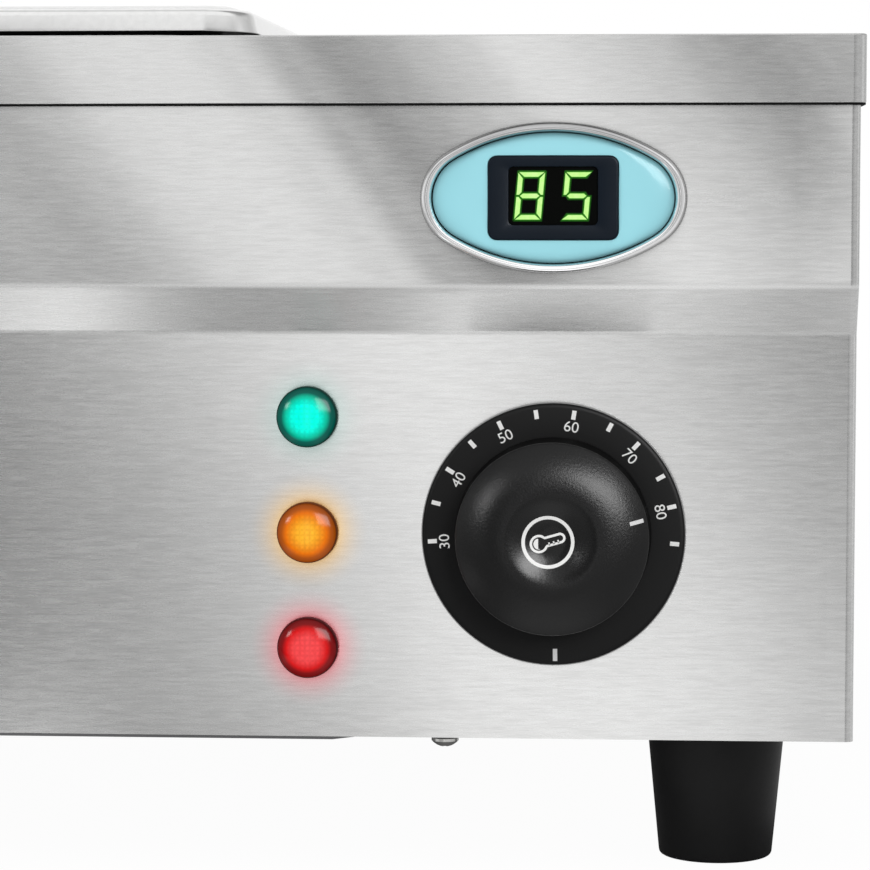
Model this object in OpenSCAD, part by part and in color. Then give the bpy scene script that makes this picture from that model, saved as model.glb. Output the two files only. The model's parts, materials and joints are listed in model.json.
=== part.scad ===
// Countertop bain-marie: three lift-out food pans over one water tank, controls in a bay on the right.
// Millimetres, +Z up, front towards -Y, origin on the table under the middle of the whole.

/* [Deck and casing] */
// Deck to the left of the pans
left_margin = 34; // [30:1:60]
// Deck to the right of the pans, over the controls
control_bay = 156; // [152:1:190]
// Deck in front of the pans and behind them
pan_margin = 35; // [32:1:60]
// Sheet thickness of deck, tank, casing and base
sheet = 1; // [0.8:0.1:1.2]
// Height of the control panel, below the step
control_h = 103.5; // [100:0.5:120]
// Height of the inclined step
step_h = 12; // [8:0.5:20]
// How far the step sets the control panel back
step_back = 8; // [5:0.5:12]
// Height of the display panel, from the step to the deck surface
display_panel_h = 62.5; // [60:0.5:75]
// Height of the deck's skirt
skirt_h = 17; // [12:0.5:18]
// Gap between the skirt and the casing
skirt_gap = 0.4; // [0.3:0.1:1.5]
// Radius of the casing's upright front edges
edge_r = 2; // [1.5:0.1:3]
// Length of the front panel's returns along the sides
return_len = 12; // [8:1:20]
// Width of the folded flanges inside the casing
flange_w = 15; // [12:1:18]
// Gap in the seam between two casing panels
seam = 0.3; // [0.2:0.1:0.6]
// How far the base plate stands back from the casing
base_inset = 1.5; // [1:0.1:3]

/* [Feet] */
// Height of a foot
foot_h = 34; // [20:1:50]
// Diameter of a foot at the casing
foot_top_d = 36; // [32:1:44]
// Diameter of a foot at the table
foot_bottom_d = 29.5; // [26:0.5:34]
// Distance of a foot's middle from the casing's sides and rear
foot_inset = 34; // [28:1:50]
// Distance of a front foot's middle behind the control panel
foot_back = 30.5; // [28:0.5:50]

/* [Pans] */
// Width of a pan over its flange
pan_w = 176; // [170:1:190]
// Depth of a pan, front to back, over its flange
pan_d = 325; // [310:1:340]
// Height of a pan below the top of its flange
pan_depth = 100; // [65:1:108]
// Gap between two pans
pan_gap = 1; // [0.6:0.1:4]
// Sheet thickness of pans and lids
pan_sheet = 0.8; // [0.6:0.1:1]
// Radius of a pan's corners at the edge of its flange
pan_corner = 26; // [25:0.5:32]
// Width of a pan's flange
pan_flange = 11.5; // [10.5:0.5:12.5]
// Height of the flange's turned-down rim
pan_rim = 2; // [1.5:0.1:3]
// How far a pan's wall leans in from flange to floor
pan_draft = 5; // [2:0.5:7]
// Radius between a pan's wall and floor
pan_floor_r = 6; // [4:0.5:8]
// How far a pan's flange lies on the deck
pan_seat = 4.5; // [3:0.5:6]

/* [Lids] */
// How far a lid's edge stands inside the pan's flange
lid_inset = 0.5; // [0.3:0.1:1.5]
// Corner radius of a lid's outer edge
lid_corner = 13; // [12:0.5:16]
// Gap between a lid's edge and the pan's flange
lid_lift = 2; // [0.8:0.1:3]
// Height of a lid's edge
lid_h = 6; // [4.5:0.5:9]
// Width of the raised rim round a lid
lid_bead = 8; // [7:0.5:8.5]
// Depth of a lid's floor below the pan's flange
lid_well = 0.6; // [0.2:0.1:4]
// How far the well's wall leans in
lid_draft = 1.8; // [1:0.1:4]
// Diameter of the handle's rod
handle_rod = 7; // [5:0.5:9]
// Width of the handle between the middles of its posts
handle_w = 76; // [60:1:100]
// Height of the handle above its pocket
handle_h = 24; // [20:0.5:32]
// Depth of the handle's pocket below the lid's floor
pocket_depth = 8.4; // [6:0.2:12]
// Length of the handle's pocket across the handle
pocket_len = 64; // [50:1:100]

/* [Tank] */
// Depth of the tank's floor below the deck surface
tank_depth = 140; // [128:1:150]
// Gap between the pans' walls and the tank
tank_gap = 1.5; // [1:0.1:2.5]
// Width of the tank's welding flange
tank_flange = 16; // [12:1:18]
// Width of a divider bar
bar_w = 16; // [10:1:20]
// Height of a divider bar
bar_h = 12; // [8:1:20]
// Diameter of the heating rod
element_d = 8; // [6:0.5:9]
// Distance between the heating rod's runs
element_pitch = 70; // [50:1:74]
// Height of the heating rod's middle above the tank's floor
element_lift = 12; // [11:0.5:20]
// Distance from the heating rod's turns to the tank's wall
element_margin = 25; // [18:1:40]

/* [Drain tap] */
// Distance of the tap from the tank's left corner
tap_inset = 17; // [16:1:50]
// Height of the tap's middle above the tank's floor
tap_lift = 17; // [16:0.5:24]
// Outside diameter of the drain pipe
pipe_d = 20; // [18:0.5:21]
// Bore of the drain pipe
pipe_bore = 13; // [10:0.5:14]
// Outside diameter of the tap's barrel
barrel_d = 27; // [25:0.5:32]
// Reach of the tap in front of the control panel
tap_len = 44; // [42:1:60]
// Diameter of the valve ball
ball_d = 18; // [16:0.5:19]
// Bore of the ball and the spout
spout_bore = 11; // [8:0.5:11.5]
// Outside diameter of the spout
spout_d = 16; // [14:0.5:18]
// Length of the spout below the tap's middle
spout_len = 30; // [24:1:36]
// Length of the spout's tail that a hose goes on
tail_len = 14; // [8:1:15]
// Diameter of the valve stem
stem_d = 8; // [7:0.5:9]
// Height of the stem's boss above the tap's middle
boss_h = 20; // [18:0.5:24]
// Length of the lever from the stem
lever_len = 60; // [45:1:80]
// Width of the lever
lever_w = 12; // [11:0.5:16]

/* [Controls] */
// Distance of the dial and display from the casing's right side
dial_from_right = 76; // [66:1:90]
// Height of the dial's middle above the casing's lower edge
dial_up = 52.6; // [48:0.1:60]
// Diameter of the dial plate
dial_d = 67; // [60:0.5:80]
// Thickness of the dial plate
dial_t = 2.4; // [2:0.1:4]
// Diameter of the knob
knob_d = 49.5; // [46:0.5:54]
// Reach of the knob in front of the control panel
knob_reach = 19.5; // [18:0.5:26]
// Gap between the knob and the dial plate
knob_gap = 0.8; // [0.4:0.1:2]
// Diameter of the dish in the knob's face
dish_d = 23; // [18:0.5:28]
// Depth of the dish in the knob's face
dish_depth = 2.3; // [1:0.1:2.8]
// Diameter of the thermostat's spindle
spindle_d = 6; // [5:0.5:7]
// Distance of the lamps from the casing's right side
lamp_from_right = 138.6; // [134:0.1:142]
// Distance between two lamps
lamp_pitch = 29.5; // [22:0.5:32]
// Diameter of a lamp's lens
lamp_d = 15.5; // [14.5:0.1:20]
// Reach of a lamp's lens in front of the control panel
lamp_reach = 5.6; // [4:0.1:8]
// Height of the display's middle above the casing's lower edge
display_up = 137.5; // [136:0.5:139]
// Width of the display's surround
display_w = 66.5; // [64:0.5:72]
// Height of the display's surround
display_h = 37.8; // [36:0.1:40]
// Width of the display's face
face_w = 60.6; // [56:0.2:62]
// Height of the display's face
face_h = 32.7; // [30.5:0.1:33.5]
// Width of the display's window
window_w = 32.4; // [30:0.2:34]
// Height of the display's window
window_h = 20.8; // [19:0.2:21.4]
// Width of the lit field in the window
field_w = 22.2; // [21:0.2:26]
// Height of the lit field in the window
field_h = 14.5; // [13.5:0.1:17]
// Height of the lit field's middle above the window's middle
field_up = 0.5; // [0:0.1:1]
// Height of a digit
digit_h = 12; // [10:0.1:13]
// Width of a digit
digit_w = 6.8; // [6:0.1:7.4]

/* [Mains inlet] */
// Distance of the cable gland from the casing's right side
gland_from_right = 60; // [50:1:90]
// Height of the cable gland above the casing's lower edge
gland_up = 28; // [24:1:45]
// Bore of the cable gland
gland_bore = 8.5; // [6:0.5:10]
// Outside diameter of the gland's thread
gland_thread = 16; // [14:0.5:18]
// Reach of the gland behind the rear panel
gland_reach = 15; // [13:0.5:20]

/* [Clearances] */
// Radial clearance of a turning shaft in its bore
running = 0.05; // [0.02:0.01:0.09]
// Radial clearance of a bolt, stud or nut
slack = 0.15; // [0.1:0.05:0.25]
// Clearance of a piece that passes through a panel
pass = 0.3; // [0.2:0.05:0.5]

/* [Hidden] */
$fn = 64;
sides = ["left", "middle", "right"];
lamp_names = ["green", "amber", "red"];
corners = [["front_left", -1, 0], ["front_right", 1, 0], ["rear_left", -1, 1], ["rear_right", 1, 1]];

steel = [0.80, 0.81, 0.82];
black = [0.06, 0.06, 0.07];
brass = [0.80, 0.64, 0.30];
white = [0.92, 0.92, 0.90];
grey = [0.45, 0.46, 0.48];
lamp_colours = [[0.0, 0.85, 0.65], [1.0, 0.55, 0.05], [0.9, 0.05, 0.15]];

// Widths and depths
pan_pitch = pan_w + pan_gap;
pans_w = 3 * pan_w + 2 * pan_gap;
deck_w = left_margin + pans_w + control_bay;
deck_d = pan_d + 2 * pan_margin;
proud = sheet + skirt_gap;
casing_w = deck_w - 2 * proud;
casing_x = casing_w / 2;
tank_w = pans_w - 2 * (pan_flange - tank_gap);
tank_d = pan_d - 2 * (pan_flange - tank_gap);
deck_r = edge_r + proud;

// Places along Y
tap_out = tap_len - proud - step_back;
gland_out = gland_reach - proud;
front_y = (tap_out - deck_d - gland_out) / 2;
mid_y = front_y + deck_d / 2;
face_y = front_y + proud;
control_y = face_y + step_back;
rear_y = front_y + deck_d - proud;

// Heights
casing_z = foot_h + sheet;
step_low_z = casing_z + control_h;
step_top_z = step_low_z + step_h;
deck_z = step_top_z + display_panel_h;
under_z = deck_z - sheet;
flange_z = deck_z + pan_rim;
floor_z = deck_z - tank_depth;

// Tank corners share their middles with the pans' corners
tank_corner = pan_corner - pan_flange + tank_gap;

// Places along X
pans_x = deck_w / 2 - control_bay - pans_w / 2;
tank_right = pans_x + tank_w / 2 + sheet;
dial_x = casing_x - dial_from_right;
lamp_x = casing_x - lamp_from_right;
dial_z = casing_z + dial_up;
display_z = casing_z + display_up;
gland_x = casing_x - gland_from_right;
gland_z = casing_z + gland_up;
tap_x = pans_x - tank_w / 2 + tank_corner + tap_inset;
tap_z = floor_z + tap_lift;

// Fasteners and small parts
screw_d = 4;
screw_head_d = 7;
screw_head_h = 2.4;
screw_run = 8;
base_screw_from_edge = 104;
base_screw_back = 7;
foot_screw_d = 6;
foot_head_d = 11;
foot_head_h = 4;
foot_recess = 12;
foot_head_gap = 1.5;
foot_round = 1.2;
nut_h = 5;
nut_flats = 10;
bolt_end = 1;
return_clear = 25;
side_clear = 50;
flange_clear = 20;
lid_hem = 1;
lid_slope = 2.6;
lid_crown = 1.6;
lid_bead_lean = 0.5;
pocket_room = 8;
pocket_r = 12;
vent_w = 44;
vent_h = 4;
vent_pitch = 12;
vent_rows = 6;

// Thermostat behind the dial
thermostat_w = 42;
thermostat_h = 34;
thermostat_d = 32;
bush_d = 10;
bush_clear = 0.6;
spindle_in = 12;
thermostat_screw_x = 14;
dial_bevel = 0.8;
web_t = 1.2;
web_r = 20;
web_head_h = 2;
knob_wall = 2;
knob_rim = 1;
knob_taper = 0.4;
dish_land = 1.5;
hub_d = 14;
hub_start = 1;
bush_out = dial_t + knob_gap + hub_start - bush_clear;
bore_cover = 2;
bulb_d = 6;
bulb_len = 80;
capillary_d = 2;
bulb_up = 8;
bulb_gap = 0.2;
cutout_w = 28;
cutout_h = 20;
cutout_base = 2;
cutout_d = 17;
cutout_len = 10;
blade_w = 6;
blade_t = 0.8;
blade_len = 8;

// Lamps
lens_edge = 1.4;
stud_d = 10;
stud_len = 12;
lamp_nut_h = 3;
lamp_nut_flats = 15;
lamp_body_d = 14;
lamp_body_len = 26;

// Display
web_h = 0.6;
surround_t = 4;
surround_turn = 2;
surround_band = min(display_w - face_w, display_h - face_h) / 2;
surround_lip = 2;
face_t = 1.8;
window_t = 3;
window_r = 2.2;
field_r = 1.2;
field_floor = 2;
digit_t = 0.4;
digit_stroke = 1.4;
digit_gap = 0.15;
digit_slant = 5.2;
digit_pitch = 11.7;
oval_end = 11;
oval_steps = 14;
housing_d = 18;

// Gland and drain
block_w = 56;
block_d = 24;
block_h = 22;
block_hole_d = 6;
gland_hex = 24;
gland_hex_h = 5;
gland_inside = 12;
gland_nut_h = 4;
cap_front = 4;
cap_taper = 2.5;
cap_d = 22;
element_step = 6;
element_neck_d = element_d + 4;
element_collar_d = element_neck_d + element_step;
element_collar_h = 3;
element_pin = 14;
gasket_t = 2;
gasket_d = 30;
head_t = 4;
locknut_h = 6;
locknut_flats = 27;
tap_flange_d = 34;
tap_flange_t = 3;
ball_gap = 0.3;
socket_depth = 12;
pipe_gap = 0.5;
spout_end = 1;
tail_step = 1.5;
boss_wall = 4;
lever_t = 3;
lever_gap = 0.5;
stem_tip_d = 6;
grip_start = 22;
grip_t = 2.5;

function ellipse_arc(c, rx, ry, from, to, steps) =
    [for (i = [0:steps]) let (a = from + (to - from) * i / steps) [c[0] + rx * cos(a), c[1] + ry * sin(a)]];

// Arc without its last point, for joining to the next one
function open_arc(c, r, from, to) =
    [for (i = [0:oval_steps - 1]) let (a = from + (to - from) * i / oval_steps) c + r * [cos(a), sin(a)]];

module rounded_rect(w, d, r) {
    square([w - 2 * r, d], center = true);
    square([w, d - 2 * r], center = true);
    for (x = [-1, 1], y = [-1, 1])
        translate([x * (w / 2 - r), y * (d / 2 - r)]) circle(r);
}

module slab(w, d, r, h) {
    linear_extrude(h) rounded_rect(w, d, r);
}

// Oval of four arcs: w wide, h high, with ends of radius r
module oval(w, h, r) {
    a = w / 2 - r;
    big = (a * a + h * h / 4 - r * r) / (h - 2 * r);
    drop = big - h / 2;
    join = atan2(drop, a);
    polygon(concat(
        open_arc([a, 0], r, -join, join),
        open_arc([0, -drop], big, join, 180 - join),
        open_arc([-a, 0], r, 180 - join, 180 + join),
        open_arc([0, drop], big, 180 + join, 360 - join)
    ));
}

// Carries a profile round a rounded rectangle: x = r is the outer edge
module rim_sweep(w, d, r) {
    for (c = [[1, 1, 0], [-1, 1, 90], [-1, -1, 180], [1, -1, 270]])
        translate([c[0] * (w / 2 - r), c[1] * (d / 2 - r), 0])
            rotate([0, 0, c[2]])
                rotate_extrude(angle = 90) children();
    for (s = [[0, w, d], [90, d, w], [180, w, d], [270, d, w]])
        rotate([0, 0, s[0]])
            translate([s[1] / 2 - r, s[2] / 2 - r, 0])
                rotate([90, 0, 0])
                    linear_extrude(s[2] - 2 * r) children();
}

// Turns a child so that its +Z points out of the front, out of the rear, or out of the tank's right wall
module out_front(x, y, z) {
    translate([x, y, z]) rotate([90, 0, 0]) children();
}

module out_rear(x, y, z) {
    translate([x, y, z]) rotate([-90, 0, 0]) children();
}

module out_tank(y, z) {
    translate([tank_right, y, z]) rotate([0, 90, 0]) children();
}

module ring(outer_d, inner_d, h) {
    difference() {
        cylinder(h = h, d = outer_d);
        translate([0, 0, -1]) cylinder(h = h + 2, d = inner_d);
    }
}

// Hexagon nut with a bore that clears its bolt
module hex_nut(flats, bolt_d, h) {
    difference() {
        cylinder(h = h, d = flats / cos(30), $fn = 6);
        translate([0, 0, -1]) cylinder(h = h + 2, d = bolt_d + 2 * slack);
    }
}

// Pan-head screw: head above z = 0, shank below
module pan_screw(d, head_d, head_h, run) {
    dome_r = (head_d * head_d / 4 + head_h * head_h) / (2 * head_h) * 1.2;
    difference() {
        union() {
            intersection() {
                cylinder(h = head_h, d = head_d);
                translate([0, 0, head_h - dome_r]) sphere(dome_r);
            }
            translate([0, 0, -run]) cylinder(h = run + head_h / 4, d = d);
        }
        for (a = [0, 90])
            rotate([0, 0, a])
                translate([-head_d / 4, -head_d / 16, head_h / 2]) cube([head_d / 2, head_d / 8, head_h]);
    }
}

// Deck, tank and divider bars

module top_deck() {
    color(steel)
    translate([0, mid_y, 0])
    difference() {
        translate([0, 0, deck_z - skirt_h]) slab(deck_w, deck_d, deck_r, skirt_h);
        translate([0, 0, deck_z - skirt_h - 1])
            slab(deck_w - 2 * sheet, deck_d - 2 * sheet, deck_r - sheet, skirt_h - sheet + 1);
        translate([pans_x, 0, under_z - 1])
            slab(pans_w - 2 * pan_seat, pan_d - 2 * pan_seat, pan_corner - pan_seat, sheet + 2);
    }
}

module water_tank() {
    lips = 2 * tank_flange;
    color(steel)
    difference() {
        translate([pans_x, mid_y, 0])
        difference() {
            union() {
                translate([0, 0, under_z - sheet])
                    slab(tank_w + lips, tank_d + lips, tank_corner + tank_flange, sheet);
                translate([0, 0, floor_z - sheet])
                    slab(tank_w + 2 * sheet, tank_d + 2 * sheet, tank_corner + sheet, under_z - floor_z);
            }
            translate([0, 0, floor_z]) slab(tank_w, tank_d, tank_corner, tank_depth);
        }
        for (s = [-1, 1])
            out_tank(mid_y + s * 1.5 * element_pitch, floor_z + element_lift)
                translate([0, 0, -2 * sheet]) cylinder(h = 3 * sheet, d = element_neck_d + 2 * pass);
        out_front(tap_x, mid_y - tank_d / 2, tap_z)
            translate([0, 0, -sheet]) cylinder(h = 3 * sheet, d = pipe_d + 2 * pass);
    }
}

module divider_bar(x) {
    open_d = pan_d - 2 * pan_seat - 2 * pass;
    web_d = tank_d - 2 * pass;
    color(steel)
    translate([x, mid_y, 0])
    union() {
        translate([-bar_w / 2, -open_d / 2, under_z]) cube([bar_w, open_d, sheet]);
        for (s = [-1, 1])
            translate([s * (bar_w - sheet) / 2 - sheet / 2, -web_d / 2, deck_z - bar_h])
                cube([sheet, web_d, bar_h - sheet / 2]);
    }
}

// Casing

// Plan of the front panel: a shallow channel with rounded edges, outer face on y = 0
module front_plan() {
    x = casing_x;
    inner_r = edge_r - sheet;
    polygon(concat(
        [[-x, return_len]],
        ellipse_arc([-x + edge_r, edge_r], edge_r, edge_r, 180, 270, 5),
        ellipse_arc([x - edge_r, edge_r], edge_r, edge_r, 270, 360, 5),
        [[x, return_len], [x - sheet, return_len]],
        ellipse_arc([x - edge_r, edge_r], inner_r, inner_r, 360, 270, 5),
        ellipse_arc([-x + edge_r, edge_r], inner_r, inner_r, 270, 180, 5),
        [[-x + sheet, return_len]]
    ));
}

// Leans an upright child forward over the height of the step
module lean() {
    slope = -step_back / step_h;
    multmatrix([[1, 0, 0, 0], [0, 1, slope, control_y], [0, 0, 1, step_low_z], [0, 0, 0, 1]]) children();
}

module front_holes() {
    depth = 3 * sheet;
    out_front(dial_x, control_y + 2 * sheet, dial_z) {
        cylinder(h = depth, d = bush_d + 2 * pass);
        for (s = [-1, 1])
            translate([s * thermostat_screw_x, 0, 0]) cylinder(h = depth, d = screw_d + 2 * pass);
    }
    for (i = [-1:1])
        out_front(lamp_x, control_y + 2 * sheet, dial_z + i * lamp_pitch)
            cylinder(h = depth, d = stud_d + 2 * pass);
    out_front(dial_x, face_y + 2 * sheet, display_z)
        linear_extrude(depth) oval(face_w, face_h, oval_end);
    out_front(tap_x, control_y + 2 * sheet, tap_z) cylinder(h = depth, d = pipe_d + 2 * pass);
}

module base_screw_places() {
    for (x = [-1, 0, 1] * (casing_x - base_screw_from_edge))
        for (y = [control_y + base_screw_back, rear_y - base_screw_back])
            translate([x, y, foot_h]) children();
}

module rear_screw_places() {
    low = casing_z + side_clear / 2;
    high = deck_z - skirt_h - side_clear / 2;
    for (x = [-1, 1] * (casing_x - sheet - flange_w / 2), z = [low, (low + high) / 2, high])
        out_rear(x, rear_y, z) children();
}

module front_panel() {
    color(steel)
    difference() {
        union() {
            translate([0, control_y, casing_z]) linear_extrude(control_h) front_plan();
            lean() linear_extrude(step_h) front_plan();
            translate([0, face_y, step_top_z]) linear_extrude(under_z - step_top_z) front_plan();
            translate([-casing_x + return_clear, control_y + sheet / 2, casing_z])
                cube([casing_w - 2 * return_clear, flange_w + sheet / 2, sheet]);
        }
        front_holes();
        base_screw_places() cylinder(h = 4 * sheet, d = screw_d + 2 * slack);
    }
}

// Folded corner flange that lies behind the front panel's edge, drawn for the right side
module corner_fold() {
    x = casing_x - sheet;
    lap = return_len + seam + sheet;
    reach = lap + flange_w / 2;
    turn = sheet * (sqrt(2) - 1);
    polygon([
        [x - flange_w, sheet],
        [x - edge_r, sheet],
        [x, sheet + edge_r],
        [x, lap],
        [x + sheet / 2, lap],
        [x + sheet / 2, reach],
        [x - sheet, reach],
        [x - sheet, sheet + edge_r + turn],
        [x - edge_r - turn, 2 * sheet],
        [x - flange_w, 2 * sheet]
    ]);
}

module right_side_panel() {
    upper = face_y + return_len + seam;
    lower = control_y + return_len + seam;
    back = rear_y - sheet;
    difference() {
        union() {
            translate([casing_x - sheet, 0, 0])
                rotate([90, 0, 90])
                    linear_extrude(sheet)
                        polygon([
                            [upper, under_z], [upper, step_top_z], [lower, step_low_z], [lower, casing_z],
                            [back, casing_z], [back, under_z]
                        ]);
            translate([0, control_y, casing_z + 2 * sheet])
                linear_extrude(control_h - step_h) corner_fold();
            translate([0, face_y, step_top_z + step_h / 2])
                linear_extrude(under_z - step_top_z - step_h) corner_fold();
            translate([casing_x - sheet - flange_w, control_y + side_clear, casing_z])
                cube([flange_w + sheet / 2, back - control_y - 2 * side_clear, sheet]);
            translate([casing_x - sheet - flange_w, back - sheet, casing_z + flange_clear])
                cube([flange_w + sheet / 2, sheet, under_z - casing_z - 2 * flange_clear]);
        }
        rear_screw_places() translate([0, 0, -4 * sheet]) cylinder(h = 6 * sheet, d = screw_d + 2 * slack);
    }
}

module right_panel() {
    color(steel) right_side_panel();
}

module left_panel() {
    color(steel) mirror([1, 0, 0]) right_side_panel();
}

module rear_panel() {
    color(steel)
    difference() {
        union() {
            translate([0, rear_y - sheet, casing_z])
                linear_extrude(under_z - casing_z)
                    polygon([
                        [-casing_x, 0], [casing_x, 0], [casing_x - sheet, sheet], [-casing_x + sheet, sheet]
                    ]);
            translate([-casing_x + return_clear, rear_y - sheet - flange_w, casing_z])
                cube([casing_w - 2 * return_clear, flange_w + sheet / 2, sheet]);
        }
        rear_screw_places() translate([0, 0, -2 * sheet]) cylinder(h = 4 * sheet, d = screw_d + 2 * slack);
        base_screw_places() cylinder(h = 4 * sheet, d = screw_d + 2 * slack);
        out_rear(gland_x, rear_y, gland_z)
            translate([0, 0, -2 * sheet]) cylinder(h = 4 * sheet, d = gland_thread + 2 * pass);
        for (i = [0:vent_rows - 1])
            out_rear(dial_x, rear_y, gland_z + 2 * flange_clear + i * vent_pitch)
                translate([0, 0, -2 * sheet]) slab(vent_w, vent_h, vent_h / 2 - 0.01, 4 * sheet);
    }
}

module rear_screws() {
    color(grey) rear_screw_places() pan_screw(screw_d, screw_head_d, screw_head_h, screw_run);
}

module foot_place(c) {
    y = c[2] == 0 ? control_y + foot_back : rear_y - foot_inset;
    translate([c[1] * (casing_x - foot_inset), y, 0]) children();
}

module base_plate() {
    color(steel)
    difference() {
        translate([-casing_x + base_inset, control_y + base_inset, foot_h])
            cube([casing_w - 2 * base_inset, rear_y - control_y - 2 * base_inset, sheet]);
        base_screw_places() translate([0, 0, -sheet]) cylinder(h = 4 * sheet, d = screw_d + 2 * slack);
        for (c = corners)
            foot_place(c)
                translate([0, 0, foot_h - sheet]) cylinder(h = 3 * sheet, d = foot_screw_d + 2 * slack);
    }
}

module base_screws() {
    color(grey)
        base_screw_places() mirror([0, 0, 1]) pan_screw(screw_d, screw_head_d, screw_head_h, screw_run);
}

module foot() {
    recess_r = foot_head_d / 2 + foot_head_gap;
    color(black)
    rotate_extrude()
        polygon(concat(
            [[recess_r, 0]],
            ellipse_arc([foot_bottom_d / 2 - foot_round, foot_round], foot_round, foot_round, 270, 350, 6),
            [[foot_top_d / 2, foot_h], [foot_screw_d / 2 + slack, foot_h]],
            [[foot_screw_d / 2 + slack, foot_recess], [recess_r, foot_recess]]
        ));
}

module foot_screws() {
    color(grey)
    for (c = corners)
        foot_place(c) translate([0, 0, foot_recess]) mirror([0, 0, 1])
            pan_screw(foot_screw_d, foot_head_d, foot_head_h, casing_z + nut_h + bolt_end - foot_recess);
}

module foot_nuts() {
    color(grey)
    for (c = corners)
        foot_place(c) translate([0, 0, casing_z]) hex_nut(nut_flats, foot_screw_d, nut_h);
}

// Pans, lids and handles

function pan_x(i) = pans_x + (i - 1) * pan_pitch;

module pan() {
    floor_low = flange_z - pan_depth;
    lean_in = pan_flange + pan_draft;
    bend = [lean_in + pan_floor_r, floor_low + pan_floor_r];
    inner_r = pan_floor_r - pan_sheet;
    outline = concat(
        [[0, deck_z], [0, flange_z], [pan_flange + pan_sheet, flange_z]],
        ellipse_arc(bend, inner_r, inner_r, 180, 270, 5),
        ellipse_arc(bend, pan_floor_r, pan_floor_r, 270, 180, 5),
        [[pan_flange, flange_z - pan_sheet], [pan_sheet, flange_z - pan_sheet], [pan_sheet, deck_z]]
    );
    color(steel)
    union() {
        rim_sweep(pan_w, pan_d, pan_corner) polygon([for (p = outline) [pan_corner - p[0], p[1]]]);
        translate([0, 0, floor_low])
            slab(pan_w - 2 * bend[0], pan_d - 2 * bend[0], pan_corner - bend[0], pan_sheet);
    }
}

lid_edge_z = flange_z + lid_lift;
lid_top_z = lid_edge_z + lid_h;
well_z = flange_z - lid_well;
pocket_z = well_z - pocket_depth;

module lid() {
    t = pan_sheet;
    r = pan_corner - lid_inset;
    w = pan_w - 2 * lid_inset;
    d = pan_d - 2 * lid_inset;
    hem = lid_hem;
    slope = lid_slope;
    crown = lid_crown;
    mouth = pan_flange + pan_sheet - lid_inset;
    lip = mouth + pass;
    seat = lid_bead + t + lid_bead_lean;
    well = lip + lid_draft;
    inner = well + 2 * t;
    land = seat + t;
    middle = (land + lip) / 2;
    rim = [
        [0, lid_edge_z], [0, lid_edge_z + hem],
        [slope, lid_top_z - crown / 2], [slope + crown, lid_top_z],
        [lid_bead, lid_top_z], [lid_bead + t, lid_top_z - t / 2],
        [land, flange_z + t], [middle, flange_z + t], [middle, flange_z], [seat, flange_z],
        [lid_bead, lid_top_z - 1.5 * t], [lid_bead - t / 4, lid_top_z - t],
        [slope + crown + t / 4, lid_top_z - t], [slope + t, lid_top_z - t - crown / 2],
        [t, lid_edge_z + hem], [t, lid_edge_z]
    ];
    wall = [
        [middle, flange_z], [middle, flange_z + t], [lip + t, flange_z + t], [well + t, well_z], [inner, well_z],
        [inner, well_z - t], [well, well_z - t], [lip, flange_z]
    ];
    pocket_w = handle_w + handle_rod + 2 * pocket_room;
    color(steel)
    difference() {
        union() {
            rim_sweep(w, d, lid_corner) polygon([for (p = rim) [lid_corner - p[0], p[1]]]);
            rim_sweep(w, d, r) polygon([for (p = wall) [r - p[0], p[1]]]);
            translate([0, 0, flange_z])
                linear_extrude(t)
                    difference() {
                        rounded_rect(w - 2 * land, d - 2 * land, lid_corner - land);
                        rounded_rect(w - 2 * lip, d - 2 * lip, r - lip);
                    }
            translate([0, 0, well_z - t]) slab(w - 2 * inner, d - 2 * inner, r - inner, t);
            translate([0, 0, pocket_z - t])
                slab(pocket_w + 2 * t, pocket_len + 2 * t, pocket_r + t, pocket_depth + t);
        }
        translate([0, 0, pocket_z]) slab(pocket_w, pocket_len, pocket_r, pocket_depth + 1);
    }
}

// Bent rod standing in the lid's pocket
module lid_handle() {
    bend = handle_rod * 1.4;
    top = handle_h - handle_rod / 2;
    color(steel)
    translate([0, 0, pocket_z])
    union() {
        for (s = [0, 180])
            rotate([0, 0, s]) {
                translate([handle_w / 2, 0, 0]) cylinder(h = top - bend, d = handle_rod);
                translate([handle_w / 2 - bend, 0, top - bend])
                    rotate([90, 0, 0])
                        rotate_extrude(angle = 90) translate([bend, 0]) circle(d = handle_rod);
            }
        translate([bend - handle_w / 2, 0, top])
            rotate([0, 90, 0]) cylinder(h = handle_w - 2 * bend, d = handle_rod);
    }
}

// Dial, knob and thermostat

module dial_plate() {
    r = dial_d / 2;
    color(black)
    out_front(dial_x, control_y, dial_z)
    difference() {
        rotate_extrude()
            polygon([
                [bush_d / 2 + pass, 0], [r, 0], [r, dial_t - dial_bevel], [r - dial_bevel, dial_t],
                [web_r, dial_t], [web_r, web_t], [bush_d / 2 + pass, web_t]
            ]);
        for (s = [-1, 1])
            translate([s * thermostat_screw_x, 0, -1]) cylinder(h = dial_t + 2, d = screw_d + 2 * pass);
    }
}

module thermostat_knob() {
    r = knob_d / 2;
    start = dial_t + knob_gap;
    top = knob_reach;
    shoulder = start + (top - start) / 2;
    land = dish_d / 2 + dish_land;
    dish_r = (dish_d * dish_d / 4 + dish_depth * dish_depth) / (2 * dish_depth);
    dish_angle = asin(dish_d / 2 / dish_r);
    bore = spindle_d / 2 + running;
    bore_top = top - dish_depth - bore_cover;
    color(black)
    out_front(dial_x, control_y, dial_z)
    rotate_extrude()
        polygon(concat(
            [[r, start], [r, start + knob_rim]],
            ellipse_arc([land, shoulder], r - knob_taper - land, top - shoulder, 0, 90, 10),
            ellipse_arc([0, top - dish_depth + dish_r], dish_r, dish_r, 270 + dish_angle, 270, 8),
            [[0, bore_top], [bore, bore_top], [bore, start + hub_start], [hub_d / 2, start + hub_start]],
            [[hub_d / 2, shoulder - knob_wall], [r - 2 * knob_wall, shoulder - knob_wall]],
            [[r - knob_wall, start]]
        ));
}

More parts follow.
